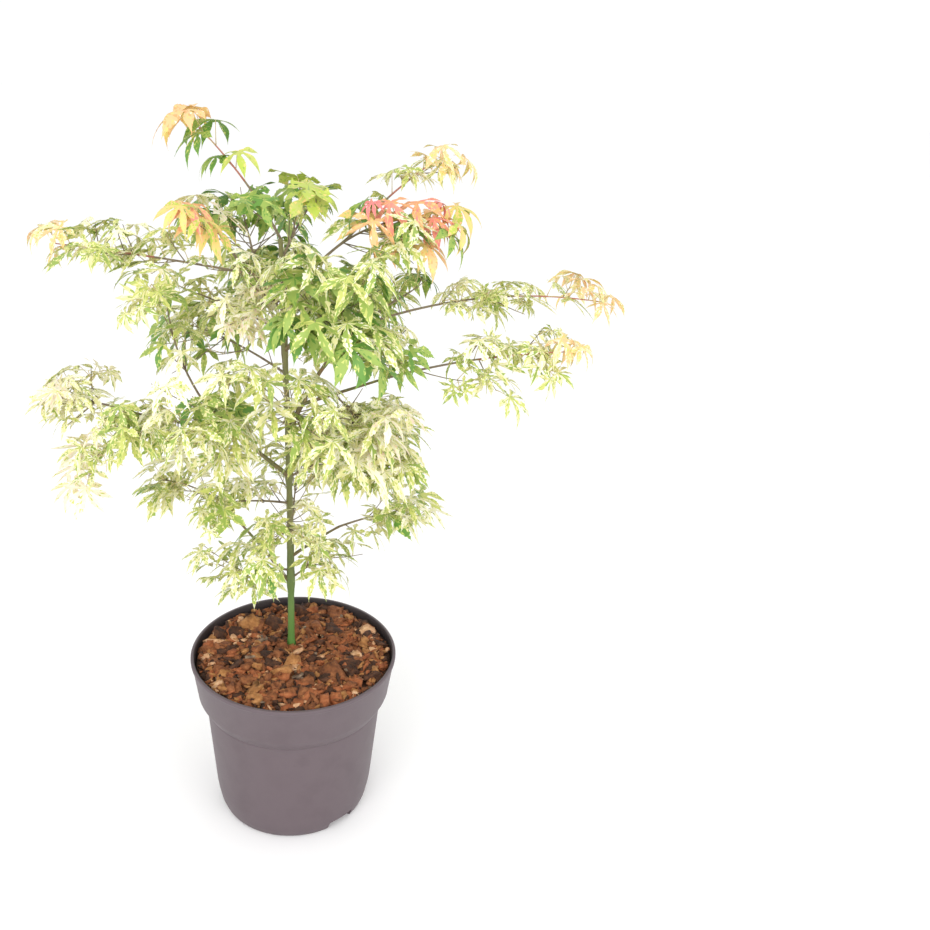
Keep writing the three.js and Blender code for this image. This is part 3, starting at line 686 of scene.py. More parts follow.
class Blade:
    """A flat palmate blade, one unit long, with toothed lobes, whose margins are faces of their own."""

    COLUMNS = (-1, -0.5, 0, 0.5, 1)  # across a lobe, from edge to edge
    STIR = 5  # degrees that a lobe may lean
    LENGTHS = (0.9, 1.06)
    WIDTHS = (0.85, 1.12)
    OUTER = 0.75  # radians from the outer lobes to the blade's edge
    SICKLE = 0.5  # how much a lobe may curve to one side
    TOOTH = (0.2, 1.2)
    TOOTH_AT = (0.4, 0.6)  # how much of the row before it and of the row after it
    TOOTH_ROOM = 0.4  # how much narrower teeth make the rows
    FIRST_ROW = 1.12  # where a lobe's rows begin, against its notch

    def __init__(self, lobes, segments, width, notch, teeth, seed):
        rng = np.random.default_rng(seed)
        self.places, self.lobe, self.side = [], [], []
        self.faces, self.face_lobe, self.on_margin = [], [], []
        angles = np.sort(np.radians([angle + rng.uniform(-self.STIR, self.STIR) for angle, _ in lobes]))
        lengths = [reach * rng.uniform(*self.LENGTHS) for _, reach in lobes]
        ends = [angles[0] - self.OUTER, *(angles[1:] + angles[:-1]) / 2, angles[-1] + self.OUTER]
        depths = [notch * 0.5, *[notch * min(a, b) ** 0.5 for a, b in zip(lengths, lengths[1:])], notch * 0.5]
        for lobe, (angle, length) in enumerate(zip(angles, lengths)):
            sinus = [polar(ends[lobe + i], depths[lobe + i]) for i in (0, 1)]
            lobe_width = width * rng.uniform(*self.WIDTHS)
            self.add_lobe(lobe, angle, length, sinus, segments, lobe_width, notch, teeth, rng)
        self.places, self.side = np.array(self.places), np.array(self.side)
        self.lobe, self.faces = np.array(self.lobe), np.array(self.faces)
        self.face_lobe, self.on_margin = np.array(self.face_lobe), np.array(self.on_margin)
        self.reach = np.linalg.norm(self.places, axis=1)
        self.outward = self.places / np.maximum(self.reach, 1e-6)[:, None]
        self.angles = angles

    def add_point(self, place, lobe, side):
        self.places.append(place)
        self.lobe.append(lobe)
        self.side.append(side)
        return len(self.places) - 1

    def add_faces(self, lobe, margin, faces, flipped):
        """Three-cornered faces, turned over where they run clockwise, without those that repeat a point."""
        for corners in faces:
            if len(set(corners)) == 3:
                self.faces.append(corners[::-1] if flipped else corners)
                self.face_lobe.append(lobe)
                self.on_margin.append(margin)

    def add_lobe(self, lobe, angle, length, sinus, segments, width, notch, teeth, rng):
        """A lobe's rows of points from the blade's centre to its tip, and the teeth between the rows."""
        heading = polar(angle, 1)
        sideways = polar(angle + math.pi / 2, 1)
        sickle = rng.uniform(-self.SICKLE, self.SICKLE)
        first = notch * self.FIRST_ROW
        rows = [[self.add_point(sinus[column > 0] * abs(column), lobe, 0) for column in self.COLUMNS]]
        for k in range(segments):
            share = k / (segments - 1)
            out = first + (length - first) * share
            half = width * lance_width(share) * (1 - self.TOOTH_ROOM * teeth)
            bend = sideways * sickle * (out - first) ** 2
            if k == segments - 1:
                rows.append([self.add_point(heading * out + bend, lobe, 0)] * len(self.COLUMNS))
                break
            row = [(sideways * column * half, column * half) for column in self.COLUMNS]
            rows.append([self.add_point(heading * out + across + bend, lobe, side) for across, side in row])
        for k, (near, far) in enumerate(zip(rows, rows[1:])):
            for edge, inner in ((0, 1), (4, 3)):
                flipped = inner == 3
                corners = near[2], near[inner], far[inner], far[2]
                self.add_faces(lobe, False, [corners[:3], (corners[0], corners[2], corners[3])], flipped)
                if k in (0, segments - 1):
                    faces = [(near[inner], near[edge], far[edge]), (near[inner], far[edge], far[inner])]
                    self.add_faces(lobe, True, faces, flipped)
                    continue
                out_near, out_far = self.places[near[edge]], self.places[far[edge]]
                size = teeth * rng.uniform(*self.TOOTH)
                near_share, far_share = self.TOOTH_AT
                place = out_near * near_share + out_far * far_share + (out_near - self.places[near[2]]) * size
                tooth = self.add_point(place, lobe, self.side[near[edge]] * (1 + size))
                faces = [(near[inner], near[edge], tooth), (near[inner], tooth, far[inner])]
                self.add_faces(lobe, True, [*faces, (far[inner], tooth, far[edge])], flipped)


def polar(angle, distance):
    return np.array([math.cos(angle), math.sin(angle)]) * distance


LANCE = {"foot": 0.4, "widest": 0.38, "point": 2.1}


def lance_width(share):
    """A lobe's half width: narrow at its sinus, widest before its middle, and drawn out to its tip."""
    foot, widest = LANCE["foot"], LANCE["widest"]
    if share < widest:
        return foot + (1 - foot) * math.sin(math.pi / 2 * share / widest)
    return math.cos(math.pi / 2 * (share - widest) / (1 - widest)) ** LANCE["point"]


SEVEN_LOBES = ((-126, 0.46), (-84, 0.74), (-41, 0.94), (0, 1), (41, 0.94), (84, 0.74), (126, 0.46))
BROAD_LOBES = ((-112, 0.58), (-55, 0.88), (0, 1), (55, 0.88), (112, 0.58))
# The kinds of leaf: rows along a lobe, width, notch, teeth, then how much their lobes bend and fold
Kind = namedtuple("Kind", "segments width notch teeth bend fold")
KINDS = {
    "broad": Kind(9, 0.14, 0.24, 0.2, (0.2, 0.9), (0.05, 0.3)),
    "wide": Kind(9, 0.17, 0.33, 0.24, (0.1, 0.8), (0.05, 0.3)),
    "arched": Kind(9, 0.112, 0.17, 0.12, (0.8, 1.7), (0.1, 0.4)),
    "mottled": Kind(8, 0.106, 0.16, 0.4, (0.2, 1.2), (0.05, 0.35)),
    "tiny": Kind(4, 0.13, 0.17, 0.4, (0.2, 1.2), (0.05, 0.35)),
}
VARIANTS = 8
BLADES = {}
for name, kind in KINDS.items():
    outlines = [BROAD_LOBES if i % 2 else SEVEN_LOBES for i in range(VARIANTS)]
    BLADES[name] = [Blade(lobes, *kind[:4], MESH_SEEDS["blade"] + i) for i, lobes in enumerate(outlines)]


class Shape:
    """Points in millimetres and three-cornered faces, each with the number of its material."""

    def __init__(self):
        self.points, self.faces, self.slots = [], [], []
        self.count = 0

    def add(self, points, faces, slots=0):
        self.points.append(np.asarray(points, float))
        self.faces.append(np.asarray(faces, int) + self.count)
        self.slots.append(np.broadcast_to(slots, len(faces)))
        self.count += len(points)

    def piece(self, name, materials, smooth=True):
        points, faces = np.vstack(self.points) * MM, np.vstack(self.faces)
        mesh = bpy.data.meshes.new(name)
        mesh.vertices.add(len(points))
        mesh.vertices.foreach_set("co", points.ravel())
        mesh.loops.add(faces.size)
        mesh.loops.foreach_set("vertex_index", faces.ravel())
        mesh.polygons.add(len(faces))
        mesh.polygons.foreach_set("loop_start", np.arange(0, faces.size, 3))
        for material in materials:
            mesh.materials.append(material)
        mesh.polygons.foreach_set("material_index", np.hstack(self.slots))
        mesh.update(calc_edges=True)
        mesh.validate()
        if smooth:
            mesh.shade_smooth()
        return add_object(name, mesh)


def add_object(name, data):
    made = bpy.data.objects.new(name, data)
    bpy.context.scene.collection.objects.link(made)
    return made


def settle(piece, slot, *nodes):
    """Puts a finished piece on the part's body, in the place of the nodes that it stands for."""
    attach(piece, BODY)
    if nodes:
        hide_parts(*nodes)


TIP_LENGTH = 0.6  # of a tube's closed tip, against its radius there


def tube(shape, places, radii, sides, slot=0, relief=None):
    """A tube through places, with a closed tip. relief gives a share of the radius for each ring and side."""
    tangents = np.gradient(places, axis=0)
    tangents /= np.linalg.norm(tangents, axis=1)[:, None]
    reference = np.eye(3)[np.argmin(np.abs(tangents.mean(0)))]
    side = np.cross(tangents, reference)
    side /= np.linalg.norm(side, axis=1)[:, None]
    over = np.cross(side, tangents)
    turns = around(sides)
    grown = np.asarray(radii, float)[:, None] * (1 if relief is None else relief)
    grown = np.broadcast_to(grown, (len(places), sides))
    ring = (
        places[:, None]
        + side[:, None] * (np.cos(turns) * grown)[..., None]
        + over[:, None] * (np.sin(turns) * grown)[..., None]
    )
    point = places[-1] + tangents[-1] * grown[-1].mean() * TIP_LENGTH
    points = np.vstack([ring.reshape(-1, 3), point, places[:1]])
    tip, root = len(points) - 2, len(points) - 1
    faces = []
    for i in range(sides):
        j = (i + 1) % sides
        for k in range(len(places) - 1):
            a, b, c, d = k * sides + i, k * sides + j, (k + 1) * sides + j, (k + 1) * sides + i
            faces += [(a, b, c), (a, c, d)]
        last = (len(places) - 1) * sides
        faces += [(last + i, last + j, tip), (j, i, root)]
    shape.add(points, faces, slot)


def deal_colours(blade, scheme, rng):
    """A material for each face of a blade: one for each lobe, with flecks on it and along its margins."""
    body, flecks, edge = SCHEMES[scheme]
    count = len(blade.faces)

    def deal(shares, size):
        slots = [LEAF_SLOTS.index(colour) for colour in shares]
        weights = np.array(list(shares.values()), float)
        return rng.choice(slots, size=size, p=weights / weights.sum())

    dealt = deal(body, len(blade.angles))[blade.face_lobe]
    for (shares, odds), fits in ((flecks, True), (edge, blade.on_margin)):
        chosen = (rng.uniform(size=count) < odds) & fits
        dealt = np.where(chosen, deal(shares, count), dealt)
    return dealt


FITTED_SIZES = (1, 0.85, 0.7, 0.55)  # a leaf is shorter where it would leave the plant's own box
BLADE_START = 0.3  # from the end of its stalk, as a share of the way to its centre
LOBES = {"bend_spread": (0.7, 1.3), "outer_bend": 0.15, "twist": 0.3}


def add_leaf(shape, kind, base, along, across, square, length, scheme, rng):
    """A leaf's blade, with its lobes bent down along arcs, folded up along their ribs and turned a little."""
    blade = BLADES[kind][rng.integers(VARIANTS)]
    lobes = len(blade.angles)
    bends = rng.uniform(*KINDS[kind].bend) * rng.uniform(*LOBES["bend_spread"], lobes)
    bends = (bends * (1 + LOBES["outer_bend"] * np.abs(blade.angles)))[blade.lobe]
    twist = rng.normal(0, LOBES["twist"], lobes)[blade.lobe]
    fold = rng.uniform(*KINDS[kind].fold)
    reach = np.sin(bends * blade.reach) / bends
    drop = (1 - np.cos(bends * blade.reach)) / bends
    flat = blade.outward * reach[:, None]
    height = fold * np.abs(blade.side) + twist * blade.side - drop
    start = along * LEAF["centre"] * BLADE_START
    offsets = flat[:, :1] * along + flat[:, 1:] * across + height[:, None] * square + start
    colours = deal_colours(blade, scheme, rng)
    for share in FITTED_SIZES:
        points = base + offsets * length * share
        if (points > whole_low).all() and (points < whole_high).all():
            shape.add(points, blade.faces, colours)
            return


PETIOLE_SIDES = 4
STALK_ARCH = 0.08  # against its length
STALK_PROFILE = np.array([1.25, 0.9, 0.8, 0.9])  # its radius from the twig to the blade


def add_petiole(shape, root, base, radius):
    """A leaf's stalk, arched a little."""
    length = np.linalg.norm(base - root)
    arch = Curve(root, (root + base) / 2 + UP * length * STALK_ARCH, base)
    places = arch.point(np.linspace(0, 1, len(STALK_PROFILE)))
    tube(shape, places, STALK_PROFILE * radius, PETIOLE_SIDES, PETIOLE)


# The wood's materials, by their number on a piece of twigs
WOOD, PETIOLE, RED_STALK = 0, 1, 2
STEM = {"root": 1.15, "taper": 0.7, "sides": 6, "rings": 15}
TWIG = {"root": 0.55, "taper": 0.24, "sides": 5, "rings": 5}
STALK_RADIUS = 0.34
SPRAY = {
    "spur": 0.56,  # its length and its rise in blade lengths of the leaf that it stands for
    "rise": 0.05,
    "radii": (0.4, 0.24),
    "places": ((0.34, 58), (0.7, 50)),  # where a pair of leaves stands on it, and how far they lean out
    "stir": 12,
    "end_stir": 14,
    "size": 0.6,
    "sizes": (0.78, 1.2),
    "lift": (0.05, 0.4),
    "tilt": 0.24,
    "stalk": 0.3,  # in blade lengths of a tiny leaf
    "stalk_radius": 0.22,
}


def add_spray(leaves, twigs, pose, scheme, rng, mass):
    """In the place of one leaf, a spur with two pairs of tiny leaves and one at its end."""
    length = pose.length
    bend, end = pose.base + UP * length * SPRAY["rise"], pose.base + pose.along * length * SPRAY["spur"]
    spur = Curve(pose.root, bend, end)
    radii = np.linspace(*SPRAY["radii"], 5)
    tube(twigs, spur.point(np.linspace(0, 1, 5)), radii, PETIOLE_SIDES, PETIOLE)
    spots = [(at, side * spread) for at, spread in SPRAY["places"] for side in (-1, 1)]
    spots.append((1, rng.uniform(-SPRAY["end_stir"], SPRAY["end_stir"])))
    for at, spread in spots:
        angle = math.radians(spread + rng.uniform(-SPRAY["stir"], SPRAY["stir"]))
        direction = turned(pose.along, pose.across, angle)
        size = length * SPRAY["size"] * rng.uniform(*SPRAY["sizes"])
        root = spur.point(at)
        base = root + unit(direction + pose.square * rng.uniform(*SPRAY["lift"])) * size * SPRAY["stalk"]
        square = unit(pose.square + rng.normal(0, SPRAY["tilt"], 3))
        along = unit(direction - square * (direction @ square))
        if not in_space([base, base + along * size], mass):
            continue
        add_petiole(twigs, root, base, SPRAY["stalk_radius"])
        add_leaf(leaves, "tiny", base, along, np.cross(square, along), square, size, scheme, rng)


def make_twigs(mass, shoots, look_name):
    """The stem of a mass, its outer half red where it is young, and its shoots."""
    twigs = Shape()
    shares = np.linspace(0, 1, STEM["rings"])
    half = STEM["rings"] // 2
    outer = RED_STALK if look_name in RED_STEMMED else WOOD
    for part, bark in ((shares[: half + 1], WOOD), (shares[half:], outer)):
        tube(twigs, stems[mass].point(part), STEM["root"] - STEM["taper"] * part, STEM["sides"], bark)
    shares = np.linspace(0, 1, TWIG["rings"])
    for shoot in shoots:
        tube(twigs, shoot.point(shares), TWIG["root"] - TWIG["taper"] * shares, TWIG["sides"], WOOD)
    return twigs


def dress(mass):
    """The leaves and the twigs of a mass, as two pieces that take the place of its solid."""
    name = MASS_NAMES[mass]
    look_name = MASSES[name].look
    look = LOOKS[look_name]
    shoots, poses = grow(mass)
    rng = np.random.default_rng(SEEDS["mass"] + mass)
    random = Stream(SEEDS["mass"] + mass)
    leaves, twigs = Shape(), make_twigs(mass, shoots, look_name)
    top_scheme, top_share, top_size = look.top
    top_height = math.inf
    if top_share:
        top_height = np.quantile([pose.base[2] for pose, _ in poses], 1 - top_share)
    for pose, share in poses:
        pose.length *= look.size
        kind = random.pick(look.kinds)
        scheme = random.pick(look.broad if kind in BROAD_KINDS else look.fine)
        if look.low and share <= look.bare[0]:
            kind, scheme = "broad", look.low[0]
        if pose.base[2] >= top_height:
            scheme = top_scheme
            pose.length *= top_size
        if look.young and share > look.young_from:
            scheme = look.young
            kind = "arched" if look_name in ARCHED_YOUNG else kind
        if kind == "tiny":
            add_spray(leaves, twigs, pose, scheme, rng, mass)
            continue
        add_petiole(twigs, pose.root, pose.base, STALK_RADIUS)
        along, square = pose.lifted()
        add_leaf(leaves, kind, pose.base, along, pose.across, square, pose.length, scheme, rng)
    settle(leaves.piece(f"leaves_{name}", leaf_materials), "foliage", f"foliage_{name}")
    settle(twigs.piece(f"twigs_{name}", twig_materials), "green_stem")


# Materials


def linear(colour):
    """An sRGB colour of 0 to 255 as linear light."""
    shares = np.array(colour) / 255
    light = np.where(shares <= 0.04045, shares / 12.92, ((shares + 0.055) / 1.055) ** 2.4)
    return (*light, 1)


def new_material(name):
    material = bpy.data.materials.new(name)
    material.use_nodes = True
    return material, material.node_tree.nodes["Principled BSDF"]


def add_node(material, kind, inputs):
    """A shader node. Each of its inputs is a value, or a socket that it is linked to."""
    node = material.node_tree.nodes.new("ShaderNode" + kind)
    for name, value in inputs.items():
        if isinstance(value, bpy.types.NodeSocket):
            material.node_tree.links.new(value, node.inputs[name])
        else:
            node.inputs[name].default_value = value
    return node


def plain_material(name, colour, roughness, sheen=0.0):
    material, shader = new_material(name)
    shader.inputs["Base Color"].default_value = linear(colour)
    shader.inputs["Roughness"].default_value = roughness
    shader.inputs["Sheen Weight"].default_value = sheen
    return material


RAMP = {"from": 0.3, "length": 0.4}  # where a noise's values mostly lie
NOISE = {"Detail": 6, "Roughness": 0.62}
RELIEF_HEIGHT = 0.0006
GLOSS_SPREAD = 0.08  # how far the roughness strays from its middle


def grained_material(name, colours, roughness, scale, stretch=(1, 1, 1), bump=0.2, fine=None):
    """A material whose colour runs through colours by a noise, with a bump of a finer one."""
    material, shader = new_material(name)
    place = add_node(material, "TexCoord", {}).outputs["Object"]
    place = add_node(material, "Mapping", {"Vector": place, "Scale": stretch}).outputs["Vector"]
    noise = add_node(material, "TexNoise", {"Vector": place, "Scale": scale, **NOISE})
    ramp = add_node(material, "ValToRGB", {"Fac": noise.outputs["Fac"]})
    elements = ramp.color_ramp.elements
    elements.remove(elements[1])
    for i, colour in enumerate(colours):
        at = RAMP["from"] + RAMP["length"] * i / max(1, len(colours) - 1)
        element = elements[0] if i == 0 else elements.new(at)
        element.position = at
        element.color = linear(colour)
    fine_noise = {"Vector": place, "Scale": fine or scale * 5, "Detail": 4}
    grain = add_node(material, "TexNoise", fine_noise).outputs["Fac"]
    relief = add_node(material, "Bump", {"Strength": bump, "Distance": RELIEF_HEIGHT, "Height": grain})
    limits = {"To Min": roughness - GLOSS_SPREAD, "To Max": min(1, roughness + GLOSS_SPREAD)}
    gloss = add_node(material, "MapRange", {"Value": grain, **limits})
    for socket, output in (
        ("Base Color", ramp.outputs["Color"]),
        ("Normal", relief.outputs["Normal"]),
        ("Roughness", gloss.outputs["Result"]),
    ):
        material.node_tree.links.new(output, shader.inputs[socket])
    return material


def green_up(material, colour, low, high):
    """Mixes a colour into a bark's own: all of it at the height low, and none from the height high on."""
    base = material.node_tree.nodes["Principled BSDF"].inputs["Base Color"]
    bark = base.links[0].from_socket
    place = add_node(material, "TexCoord", {}).outputs["Object"]
    height = add_node(material, "SeparateXYZ", {"Vector": place}).outputs["Z"]
    fade = add_node(material, "MapRange", {"Value": height, "From Min": low, "From Max": high})
    mix = add_node(material, "Mix", {"Factor": fade.outputs["Result"]})
    mix.data_type = "RGBA"
    mix.inputs["A"].default_value = linear(colour)
    material.node_tree.links.new(bark, mix.inputs["B"])
    material.node_tree.links.new(mix.outputs["Result"], base)


leaf_materials = [plain_material(f"leaf_{name}", colour, 0.5, 0.05) for name, colour in LEAF_COLOURS.items()]
twig_material = grained_material(
    "twig_bark", [(118, 100, 88), (134, 120, 92), (104, 88, 82)], 0.55, 90, bump=0.3
)
petiole_material = plain_material("petiole", (206, 188, 136), 0.5)
red_stalk_material = plain_material("red_stalk", (178, 112, 96), 0.5)
twig_materials = [twig_material, petiole_material, red_stalk_material]
pot_outside = grained_material(
    "pot_plastic", [(92, 79, 84), (95, 82, 87), (89, 76, 81)], 0.5, 30, bump=0.04, fine=1400
)
pot_inside = grained_material("pot_inside", [(58, 52, 54), (66, 60, 62)], 0.5, 60, bump=0.05, fine=900)
trunk_material = grained_material(
    "trunk_bark", [(96, 96, 60), (112, 116, 68), (126, 122, 78), (92, 104, 54)], 0.55, 60, (1, 1, 0.22), 0.5
)
green_up(trunk_material, (84, 132, 58), 0.16, 0.3)
bough_material = grained_material(
    "bough_bark", [(106, 90, 62), (122, 104, 70), (104, 112, 62), (134, 88, 62)], 0.55, 70, (1, 1, 1), 0.5
)

# The pot


def lathe(shape, profile, sides, slots):
    """A profile of radius and height turned round the axis. slots gives each stretch its material."""
    turns = around(sides)
    points, rows = [], []
    for radius, height in profile:
        first = len(points)
        if radius == 0:
            points.append((0, 0, height))
            rows.append([first] * sides)
            continue
        points += [(radius * math.cos(turn), radius * math.sin(turn), height) for turn in turns]
        rows.append(range(first, first + sides))
    faces, dealt = [], []
    for near, far, slot in zip(rows, rows[1:], slots):
        for i in range(sides):
            j = (i + 1) % sides
            made = [(near[i], near[j], far[j]), (near[i], far[j], far[i])]
            made = [face for face in made if len(set(face)) == 3]
            faces += made
            dealt += [slot] * len(made)
    shape.add(points, faces, dealt)


def pot_profile():
    """The pot's section from the centre of its underside, up its outer face, over the lip and down inside.

    Each row is a radius and a height, and how far from both the points near them are.
    """
    step = POT_HEIGHT - COLLAR_HEIGHT
    groove = ((-1.3, -14), (-1.25, -13), (-1.5, -12.6), (-1.45, -11.9), (-0.8, -11.5), (0.2, -10.4))
    lip = ((-1.25, -5.2), (-0.9, -4.5), (-0.1, -3.6), (0, -2.6), (0, -1), (-0.35, -0.3), (-1, 0))
    outer = [
        (0, 0, ((0, 0),)),
        (BASE_RADIUS, 0, ((-2.4, 0), (-0.9, 0.35), (0.7, 1.3), (1.5, 2.6))),
        (BODY_FOOT_RADIUS, 0, ((-0.6, 7.6), (-0.1, 9.2), (2, 20), (3, 27))),
        (BODY_TOP_RADIUS, step, groove),
        (COLLAR_FOOT_RADIUS, step, ((-1.5, -2.6), (-0.4, -0.4), (-0.15, 0.5), (0.15, 1.2))),
        (RIM_RADIUS, POT_HEIGHT, lip),
    ]
    inner = [
        (RIM_RADIUS, POT_HEIGHT, ((-2.2, 0), (-2.9, -0.35), (-3.2, -1.1), (-3.4, -5))),
        (COLLAR_FOOT_RADIUS - WALL, step, ((0, 0),)),
        (BODY_TOP_RADIUS - WALL, step, ((-1.6, -12),)),
        (BODY_FOOT_RADIUS - WALL, POT_FLOOR, ((-0.6, 0),)),
    ]
    return [
        [(radius + out, height + up) for radius, height, steps in rows for out, up in steps]
        for rows in (outer, inner)
    ]


def cut_notches(piece):
    """Takes the notches out of the pot's foot."""
    for i in range(NOTCH["count"]):
        bearing = math.radians(NOTCH["first_bearing"] + 360 / NOTCH["count"] * i)
        block = bmesh.new()
        bmesh.ops.create_cube(block, size=MM)
        scale = (NOTCH["depth"], NOTCH["width"], NOTCH["height"] * 2)
        bmesh.ops.scale(block, vec=scale, verts=block.verts)
        edges = block.edges[:] + block.verts[:]
        rounding = NOTCH_ROUNDING * MM
        bmesh.ops.bevel(block, geom=edges, offset=rounding, segments=3, profile=0.5, affect="EDGES")
        mesh = bpy.data.meshes.new("notch")
        block.to_mesh(mesh)
        block.free()
        cutter = add_object("notch", mesh)
        out = (NOTCH["inner_radius"] + NOTCH["depth"] / 2) * MM
        cutter.location = (out * math.cos(bearing), out * math.sin(bearing), 0)
        cutter.rotation_euler = (0, 0, bearing)
        cut = piece.modifiers.new("notch", "BOOLEAN")
        cut.operation = "DIFFERENCE"
        cut.solver = "EXACT"
        cut.object = cutter
        bpy.context.view_layer.update()
        evaluated = piece.evaluated_get(bpy.context.evaluated_depsgraph_get())
        cut_mesh = bpy.data.meshes.new_from_object(evaluated)
        piece.modifiers.clear()
        piece.data = cut_mesh
        bpy.data.objects.remove(cutter)


def make_pot():
    outer, inner = pot_profile()
    shape = Shape()
    slots = [0] * len(outer) + [1] * len(inner)
    lathe(shape, [*outer, *inner, (0, POT_FLOOR)], POT_SIDES, slots)
    piece = shape.piece("pot_shell", [pot_outside, pot_inside])
    cut_notches(piece)
    piece.data.shade_smooth()
    piece.data.set_sharp_from_angle(angle=math.radians(POT_CREASE))
    settle(piece, "pot_plastic", "pot")


# The potting mix and the bark chips

CHIP_COLOURS = {
    "russet": [(88, 47, 25), (130, 77, 42), (162, 103, 62)],
    "umber": [(36, 19, 10), (70, 40, 22), (104, 64, 38)],
    "rust": [(118, 62, 33), (156, 88, 48), (180, 112, 70)],
    "ochre": [(132, 86, 44), (168, 114, 64), (192, 140, 86)],
    "tan": [(182, 128, 90), (212, 164, 122), (228, 190, 152)],
    "grey": [(88, 72, 58), (122, 100, 82), (166, 146, 122)],
}
CHIP_SHARES = {"russet": 35, "umber": 21, "rust": 22, "ochre": 13, "tan": 6, "grey": 3}
# How many chips, the shortest and the longest, how high above the bed, and how wide against their length
CHIP_LAYERS = (
    (500, 5, 9, 0.4, (0.5, 0.9)),
    (420, 7, 12, 1.4, (0.5, 0.9)),
    (120, 11, 17, 2.4, (0.5, 0.9)),
    (620, 3, 6, 3.0, (0.5, 0.9)),
    (10, 16, 22, 3.0, (0.5, 0.9)),
    (260, 8, 15, 3.6, (0.14, 0.26)),
)
CHIP = {
    "square": 0.7,  # how much of a chip's form is a block's and how much is a ball's
    "round": 0.36,
    "over_edge": 0.6,
    "trunk_room": 0.4,  # in lengths of the chip
    "coarse_to": 11,  # the longest chip that is made of the coarser block
    "thickness": (0.28, 0.5),  # against its length
    "roughness": 0.17,
    "wedge": 0.3,
    "tilt": 0.6,
    "stray": 1,
}
BED_EDGE_HEIGHT = MIX_EDGE_HEIGHT + 3.5
BED_RINGS = 27
BED_SIDES = 96
BED_RELIEF = 0.7
MIX_EDGE = COLLAR_FOOT_RADIUS - WALL - 0.4
BED_EDGE = RIM_RADIUS - 5
BED_FOOT = POT_HEIGHT - COLLAR_HEIGHT + 2  # the bed's side reaches down to here, hidden by the collar


def bed_height(radius):
    return BED_EDGE_HEIGHT + (MIX_TOP - BED_EDGE_HEIGHT) * (1 - (radius / BED_EDGE) ** 2)


def rough_block(cuts):
    """A block with each side cut into squares, its corners rounded: points and three-cornered faces."""
    block = bmesh.new()
    bmesh.ops.create_cube(block, size=2)
    bmesh.ops.subdivide_edges(block, edges=block.edges[:], cuts=cuts, use_grid_fill=True)
    bmesh.ops.triangulate(block, faces=block.faces[:])
    points = np.array([v.co for v in block.verts])
    faces = np.array([[v.index for v in f.verts] for f in block.faces])
    block.free()
    ball = points / np.linalg.norm(points, axis=1)[:, None]
    return points * CHIP["square"] + ball * CHIP["round"], faces


def rotation(rng, tilt):
    """A turn about Z, after a tilt of up to tilt about X and Y."""
    a, b, c = rng.uniform(-tilt, tilt), rng.uniform(-tilt, tilt), rng.uniform(0, 2 * math.pi)
    about_x = np.array([[1, 0, 0], [0, math.cos(a), -math.sin(a)], [0, math.sin(a), math.cos(a)]])
    about_y = np.array([[math.cos(b), 0, math.sin(b)], [0, 1, 0], [-math.sin(b), 0, math.cos(b)]])
    about_z = np.array([[math.cos(c), -math.sin(c), 0], [math.sin(c), math.cos(c), 0], [0, 0, 1]])
    return about_z @ about_y @ about_x


def make_mix():
    """The dark bed of the mix, and the chips on it."""
    chip_materials = [
        grained_material(f"chip_{name}", colours, 0.85, 190, (1, 1, 1), 1.0, fine=700)
        for name, colours in CHIP_COLOURS.items()
    ]
    bed_material = grained_material("mix_bed", [(46, 28, 18), (78, 48, 30), (34, 20, 14)], 0.92, 120, bump=1)
    bed = Shape()
    radii = np.linspace(BED_EDGE, 0, BED_RINGS)
    outline = [(MIX_EDGE, BED_FOOT), *zip(radii, bed_height(radii))]
    lathe(bed, outline, BED_SIDES, [0] * len(outline))
    rng = np.random.default_rng(MESH_SEEDS["bed"])
    inside = np.linalg.norm(bed.points[0][:, :2], axis=1) < BED_EDGE - 1
    bed.points[0][inside] += rng.normal(0, BED_RELIEF, (inside.sum(), 3))
    settle(bed.piece("mix_bed", [bed_material]), "bark_mix", "bark_mix")

    rng = np.random.default_rng(MESH_SEEDS["chips"])
    names = list(CHIP_SHARES)
    weights = np.array(list(CHIP_SHARES.values()), float)
    coarse, fine = rough_block(1), rough_block(2)
    chips = Shape()
    for count, shortest, longest, lift, widths in CHIP_LAYERS:
        for _ in range(count):
            length = rng.uniform(shortest, longest)
            room = BED_EDGE + CHIP["over_edge"] - length * 0.5
            radius = room * math.sqrt(rng.uniform(0, 1))
            bearing = rng.uniform(0, 2 * math.pi)
            x, y = radius * math.cos(bearing), radius * math.sin(bearing)
            if math.hypot(x - TRUNK["x"], y - TRUNK["y"]) < TRUNK["foot"] + length * CHIP["trunk_room"]:
                continue
            points, faces = fine if length > CHIP["coarse_to"] else coarse
            width = rng.uniform(*widths)
            thickness = min(width, rng.uniform(*CHIP["thickness"]))
            half = np.array([length, length * width, length * thickness]) / 2
            rough = points * (1 + rng.normal(0, CHIP["roughness"], points.shape)) * half
            rough[:, 2] *= 1 - CHIP["wedge"] * rng.uniform() * rough[:, 0] / half[0]
            turn = rotation(rng, CHIP["tilt"]).T
            height = bed_height(radius) + lift + rng.uniform(-CHIP["stray"], CHIP["stray"])
            placed = rough @ turn + [x, y, height]
            chips.add(placed, faces, names.index(rng.choice(names, p=weights / weights.sum())))
    settle(chips.piece("bark_chips", chip_materials, smooth=False), "bark_mix")


# The trunk and the boughs

BARK = {"ridges": 5, "depth": 0.06, "waves": (2, 7), "phase": 6.3, "twist": 9, "roughness": 0.35}


